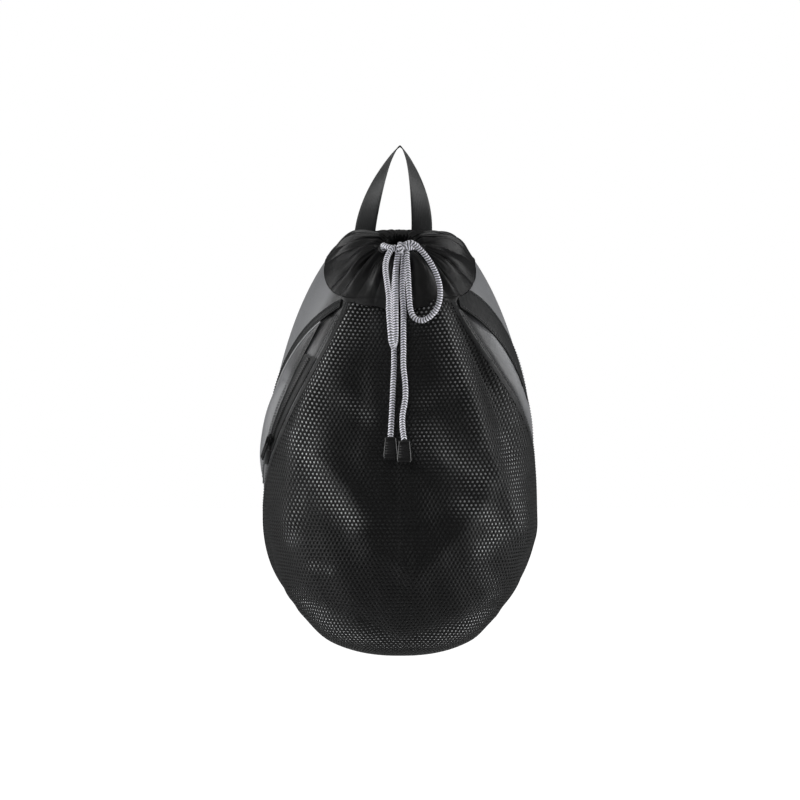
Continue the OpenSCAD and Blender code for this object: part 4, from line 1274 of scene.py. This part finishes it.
legT = np.concatenate([np.linspace(0, 0.9, 60), np.linspace(0.91, 0.998, 24)])
leftP, leftA = handleLeg(-1, legT)
rightP, rightA = handleLeg(1, legT[::-1])
leftTab = curve(tabLine(-1), 1.2)
rightTab = curve(tabLine(1), 1.2)[::-1]
line = np.concatenate([leftTab, leftP, [[0, bag["peakY"], peakZ]], rightP, rightTab])
across = np.concatenate([np.tile([1.0, 0, 0], (len(leftTab), 1)), leftA, [[0, -1.0, 0]], -rightA,
                         np.tile([-1.0, 0, 0], (len(rightTab), 1))])
handlePiece = ribbon("handle_webbing", line, across, handle["width"], handle["thick"], "webbing", None, 14)
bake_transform(handlePiece)
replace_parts(handlePiece, "handle", "left_handle_tab", "right_handle_tab")
for side, name in ((-1, "left"), (1, "right")):
    tab = curve(tabLine(side), 1.2)[2:14]
    for k, dx in enumerate((-10, 10)):
        stitches(f"{name}_handle_stitch_{k}", tab + [dx, 0.9, 0], [0, 1, 0], "threadGrey", long=2.2)
    for k, z in enumerate((0, -1)):
        row = tab[z] + np.linspace(-10, 10, 30)[:, None] * [1, 0, 0] + [0, 0.9, 0]
        stitches(f"{name}_handle_bar_{k}", row, [0, 1, 0], "threadGrey", long=2.2)

print("shoulder straps")
strap = {
    "topX": 44, "topZ": 452, "lowX": 92, "lowZ": 88, "bow": 26, "padWidth": 58, "padThick": 9,
    "padShare": 0.66, "webWidth": 25, "webThick": 1.4, "tongueWidth": 18, "swell": 0.005, "pressure": 4.0,
    "voxel": 0.004, "slack": 0.72, "lockLength": 26, "lockPlay": 0.4, "webEnd": 0.9965,
}
strapRun = strap["topZ"] - strap["lowZ"]


def strapPoint(s):
    s = np.asarray(s, float)
    x = mix(strap["topX"], strap["lowX"], s)
    z = mix(strap["topZ"], strap["lowZ"], s)
    seat = 2.0 + mix(11.0, 4.7, s)
    return backAt(x, z, seat + strap["bow"] * np.sin(np.pi * np.clip(s, 0, 1) ** 0.8))


def strapDirection(s):
    return unit(strapPoint(np.asarray(s, float) + 0.01) - strapPoint(s))


def sideOf(direction):
    return unit(np.array([1.0, 0, 0]) - direction[..., :1] * direction)


def backAcross(p):
    half = strap["webWidth"] / 2
    return unit(backAt(p[..., 0] + half, p[..., 2], 0) - backAt(p[..., 0] - half, p[..., 2], 0))


def padWidth(s):
    narrow = 1 - np.abs(2 * s / strap["padShare"] - 1) ** 7
    return np.maximum(strap["padWidth"] * np.sqrt(np.maximum(0.02, narrow)), strap["webWidth"] + 6)


def padShell(scale):
    s = np.linspace(0.008, strap["padShare"] - 0.004, 90)
    p = strapPoint(s)
    direction = strapDirection(s)
    side = sideOf(direction)
    up = np.cross(direction, side)
    a = np.linspace(0, 2 * np.pi, 40, endpoint=False)
    w = padWidth(s)[:, None] / 2 - 1.2
    x = w * np.sign(np.cos(a)) * np.abs(np.cos(a)) ** 0.35
    y = strap["padThick"] / 2 * scale * np.sign(np.sin(a)) * np.abs(np.sin(a)) ** 0.6
    ring = p[:, None] + x[..., None] * side[:, None] + y[None, :, None] * up[:, None]
    return ring, tubeFaces(len(s), len(a))


def inflate(piece, voxel, pressure, cap):
    # a short cloth run puffs the pad, and no point moves further than the cap
    even = piece.modifiers.new("remesh", "REMESH")
    even.mode = "VOXEL"
    even.voxel_size = voxel
    bpy.context.view_layer.update()
    data = bpy.data.meshes.new_from_object(piece.evaluated_get(bpy.context.evaluated_depsgraph_get()))
    piece.modifiers.clear()
    piece.data = data
    start = np.empty(len(data.vertices) * 3)
    data.vertices.foreach_get("co", start)
    cloth = piece.modifiers.new("cloth", "CLOTH")
    cloth.settings.quality = 5
    cloth.settings.mass = 0.3
    cloth.settings.use_pressure = True
    cloth.settings.uniform_pressure_force = pressure
    cloth.settings.tension_stiffness = 25
    cloth.settings.compression_stiffness = 25
    cloth.settings.effector_weights.gravity = 0
    scene = bpy.context.scene
    for frameNumber in range(1, 21):
        scene.frame_set(frameNumber)
    puffed = bpy.data.meshes.new_from_object(piece.evaluated_get(bpy.context.evaluated_depsgraph_get()))
    piece.modifiers.clear()
    end = np.empty(len(puffed.vertices) * 3)
    puffed.vertices.foreach_get("co", end)
    move = (end - start).reshape(-1, 3)
    far = np.linalg.norm(move, axis=1, keepdims=True)
    move = move * np.minimum(1, cap / np.maximum(far, 1e-9))
    data.vertices.foreach_set("co", start + move.ravel())
    scene.frame_set(1)
    data.update()


ring, faces = padShell(strap["slack"])
padPiece = addMesh("right_pad_cushion", ring, faces, "spacer", "right_strap", sharp=0)
inflate(padPiece, strap["voxel"], strap["pressure"], strap["swell"])
padPiece.data.materials.clear()
padPiece.data.materials.append(paints["spacer"])
where = np.empty(len(padPiece.data.vertices) * 3)
padPiece.data.vertices.foreach_get("co", where)
where = where.reshape(-1, 3)
middleS = np.linspace(0, strap["padShare"], 200)
middleLine = hang(strapPoint(middleS))
direction = strapDirection(middleS)
side = sideOf(direction)
up = np.cross(direction, side)
nearest = np.argmin(((where[:, None] - middleLine[None]) ** 2).sum(-1), axis=1)
local = (where - middleLine[nearest]) * 1000
x = (local * side[nearest]).sum(-1)
y = (local * up[nearest]).sum(-1)
# two sewn channels and a tight edge
half = padWidth(middleS[nearest]) / 2
for sign in (-1, 1):
    reach = np.zeros(len(middleS))
    np.maximum.at(reach, nearest, x * sign)
    filled = reach > 5
    reach = np.interp(np.arange(len(reach)), np.flatnonzero(filled), reach[filled])
    reach = np.convolve(np.pad(reach, 2, mode="edge"), np.ones(5) / 5, mode="valid")
    x = np.where(x * sign > 0, x * (half - 0.8) / reach[nearest], x)
x = np.clip(x, -half + 0.5, half - 0.5)
groove = np.exp(-((np.abs(x) - half * 0.42) / 2.2) ** 2) * 0.3
y = y * (1 - groove)
thickest = strap["padThick"] / 2 + 1.3
y = np.clip(y, -thickest, thickest)
where = middleLine[nearest] + (x[:, None] * side[nearest] + y[:, None] * up[nearest]
                                + ((local * direction[nearest]).sum(-1))[:, None] * direction[nearest]) / 1000
padPiece.data.vertices.foreach_set("co", where.ravel())
padPiece.data.update()
padPiece.data.shade_smooth()
other = padPiece.data.copy()
other.name = "left_pad_cushion"
where[:, 0] *= -1
other.vertices.foreach_set("co", where.ravel())
other.flip_normals()
otherPiece = bpy.data.objects.new("left_pad_cushion", other)
bpy.context.scene.collection.objects.link(otherPiece)
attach(otherPiece, "left_strap")
for piece, sideName in ((padPiece, "right"), (otherPiece, "left")):
    refine = piece.modifiers.new("refine", "SUBSURF")
    refine.levels = 1
    refine.render_levels = 1
    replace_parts(piece, f"{sideName}_strap_pad")

# binding tape round the edge of each pad
s = np.linspace(0.008, strap["padShare"] - 0.004, 110)
p = strapPoint(s)
direction = strapDirection(s)
side = sideOf(direction)
up = np.cross(direction, side)
w = padWidth(s)[:, None] / 2 - 0.6
lockStep = (strap["lockLength"] / 2 + strap["lockPlay"]) / strapRun
lockS = strap["padShare"] + lockStep
lockAt = strapPoint(lockS)
lockAlong = -strapDirection(lockS - 0.005)
lockSide = sideOf(lockAlong[None])[0]
lockOut = np.cross(lockSide, lockAlong)
runS = mix(lockS + lockStep, strap["webEnd"], np.linspace(0, 1, 60))
runLine = strapPoint(runS)
runAcross = unit(mix(lockSide[None], backAcross(runLine), np.linspace(0, 1, 60)[:, None]))
tailT = np.linspace(0, 6, 40)[:, None]
tailLine = lockAt - lockOut * (3.7 + 0.1 * tailT ** 2) - lockAlong * tailT * 12
end = strapPoint(0.004) - 0.7 * unit(strapPoint(1.0) - strapPoint(0.0))
chord = unit(strapPoint(1.0) - strapPoint(0.0))
yokeLine = np.array([backAt(end[0] - 2.4, end[2] + 18, 1.6), backAt(end[0] - 1.4, end[2] + 11, 3.2),
                     end + [-0.5, -3.5, 4], end])
yokeAcross = np.array([backAcross(yokeLine[0]), backAcross(yokeLine[1]),
                       unit(backAcross(yokeLine[2]) + sideOf(chord[None])[0]), sideOf(chord[None])[0]])
lowEnd = strapPoint(1.0) + 0.7 * strapDirection(0.99)
anchorLine = np.array([lowEnd, lowEnd + [0.4, -2, -4.5], backAt(lowEnd[0] + 1, lowEnd[2] - 12, 2.24),
                       backAt(lowEnd[0] + 1.5, lowEnd[2] - 22, 1.6)])


def along(points, values, count):
    t = np.linspace(0, len(points) - 1, count)
    return np.stack([np.interp(t, np.arange(len(points)), values[:, k]) for k in range(3)], -1)


for sign, name in ((-1, "left"), (1, "right")):
    flip = np.array([sign, 1, 1])
    body = f"{name}_strap"
    edgeLine = np.concatenate([p - w * side, (p + w * side)[::-1], (p - w * side)[:1]]) * flip
    tube(f"{name}_pad_binding", edgeLine, 1.5, "webbing", body, sides=12, start=(0, 1, 0))
    web = ribbon(f"{name}_strap_web", runLine * flip, runAcross * flip, strap["webWidth"],
                 strap["webThick"], "webbing", body, 12)
    ribbon(f"{name}_strap_tail", tailLine * flip, np.tile(lockSide * flip, (40, 1)), strap["webWidth"],
           strap["webThick"], "webbing", body, 12)
    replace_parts(web, f"{name}_strap_webbing")
    carried(f"{name}_ladder_lock", "plastic", 0.0009, 3)
    # the yoke's tongue and the anchor
    ribbon(f"{name}_yoke_tongue", curve(yokeLine, 1.0) * flip,
           along(yokeLine, yokeAcross, len(curve(yokeLine, 1.0))) * flip, strap["tongueWidth"],
           strap["webThick"], "webbing")
    anchorCurve = curve(anchorLine, 1.0)
    anchorTongue = ribbon(f"{name}_anchor_tongue", anchorCurve * flip, backAcross(anchorCurve) * flip,
                          strap["tongueWidth"], strap["webThick"], "webbing")
    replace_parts(anchorTongue, f"{name}_strap_anchor")
    h = np.linspace(56, 84, 14)[:, None]
    q = np.linspace(133, 148, 16)[None, :] + 0 * h
    h = h + 0 * q
    slab(f"{name}_anchor_patch", lifted(q, h, 1.6) * flip, lifted(q, h, 0.4 + 0 * h) * flip, "black")
    for k, height in enumerate((58.5, 81.5)):
        lineQ = np.linspace(134, 147, 30)
        stitches(f"{name}_anchor_stitch_{k}", lifted(lineQ, height + 0 * lineQ, 1.7) * flip,
                 outward(lineQ, height + 0 * lineQ) * flip, "threadGrey", long=2.2)

h = np.linspace(395, 422, 14)[:, None]
q = np.linspace(150, 210, 60)[None, :] + 0 * h
h = h + 0 * q
yoke = slab("strap_yoke_patch", lifted(q, h, 1.6), lifted(q, h, 0.4 + 0 * h), "black")
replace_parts(yoke, "strap_yoke")
for k, height in enumerate((397.5, 419.5)):
    lineQ = np.linspace(151, 209, 90)
    stitches(f"strap_yoke_stitch_{k}", lifted(lineQ, height + 0 * lineQ, 1.7),
             outward(lineQ, height + 0 * lineQ), "threadGrey", long=2.4)


def clothArea(piece):
    data = piece.data
    size = np.empty(len(data.polygons))
    data.polygons.foreach_get("area", size)
    return float(size.sum()) / 2


print("cloth sizes")
# each flat size is worked out from the built cloth, so its area check compares the cloth with itself
cloths = {}
for piece, held, extra in (
        (backing, "stretched", netPieces + hems), (sidePieces[-1], "hung", []), (sidePieces[1], "hung", []),
        (pocketPiece, "hung", []), (collarPiece, "gathered", [])):
    low = np.array(piece.bound_box).min(0)
    high = np.array(piece.bound_box).max(0)
    area = clothArea(piece)
    tall = float(np.linalg.norm((high - low)[1:])) * 1.1
    wide = max(area / tall, 0.02) * 1.35
    cloths[piece.name] = [round(wide, 3), round(tall, 3), round(area, 4)]
print("cloths", cloths)
print("cord lengths", cordLengths)
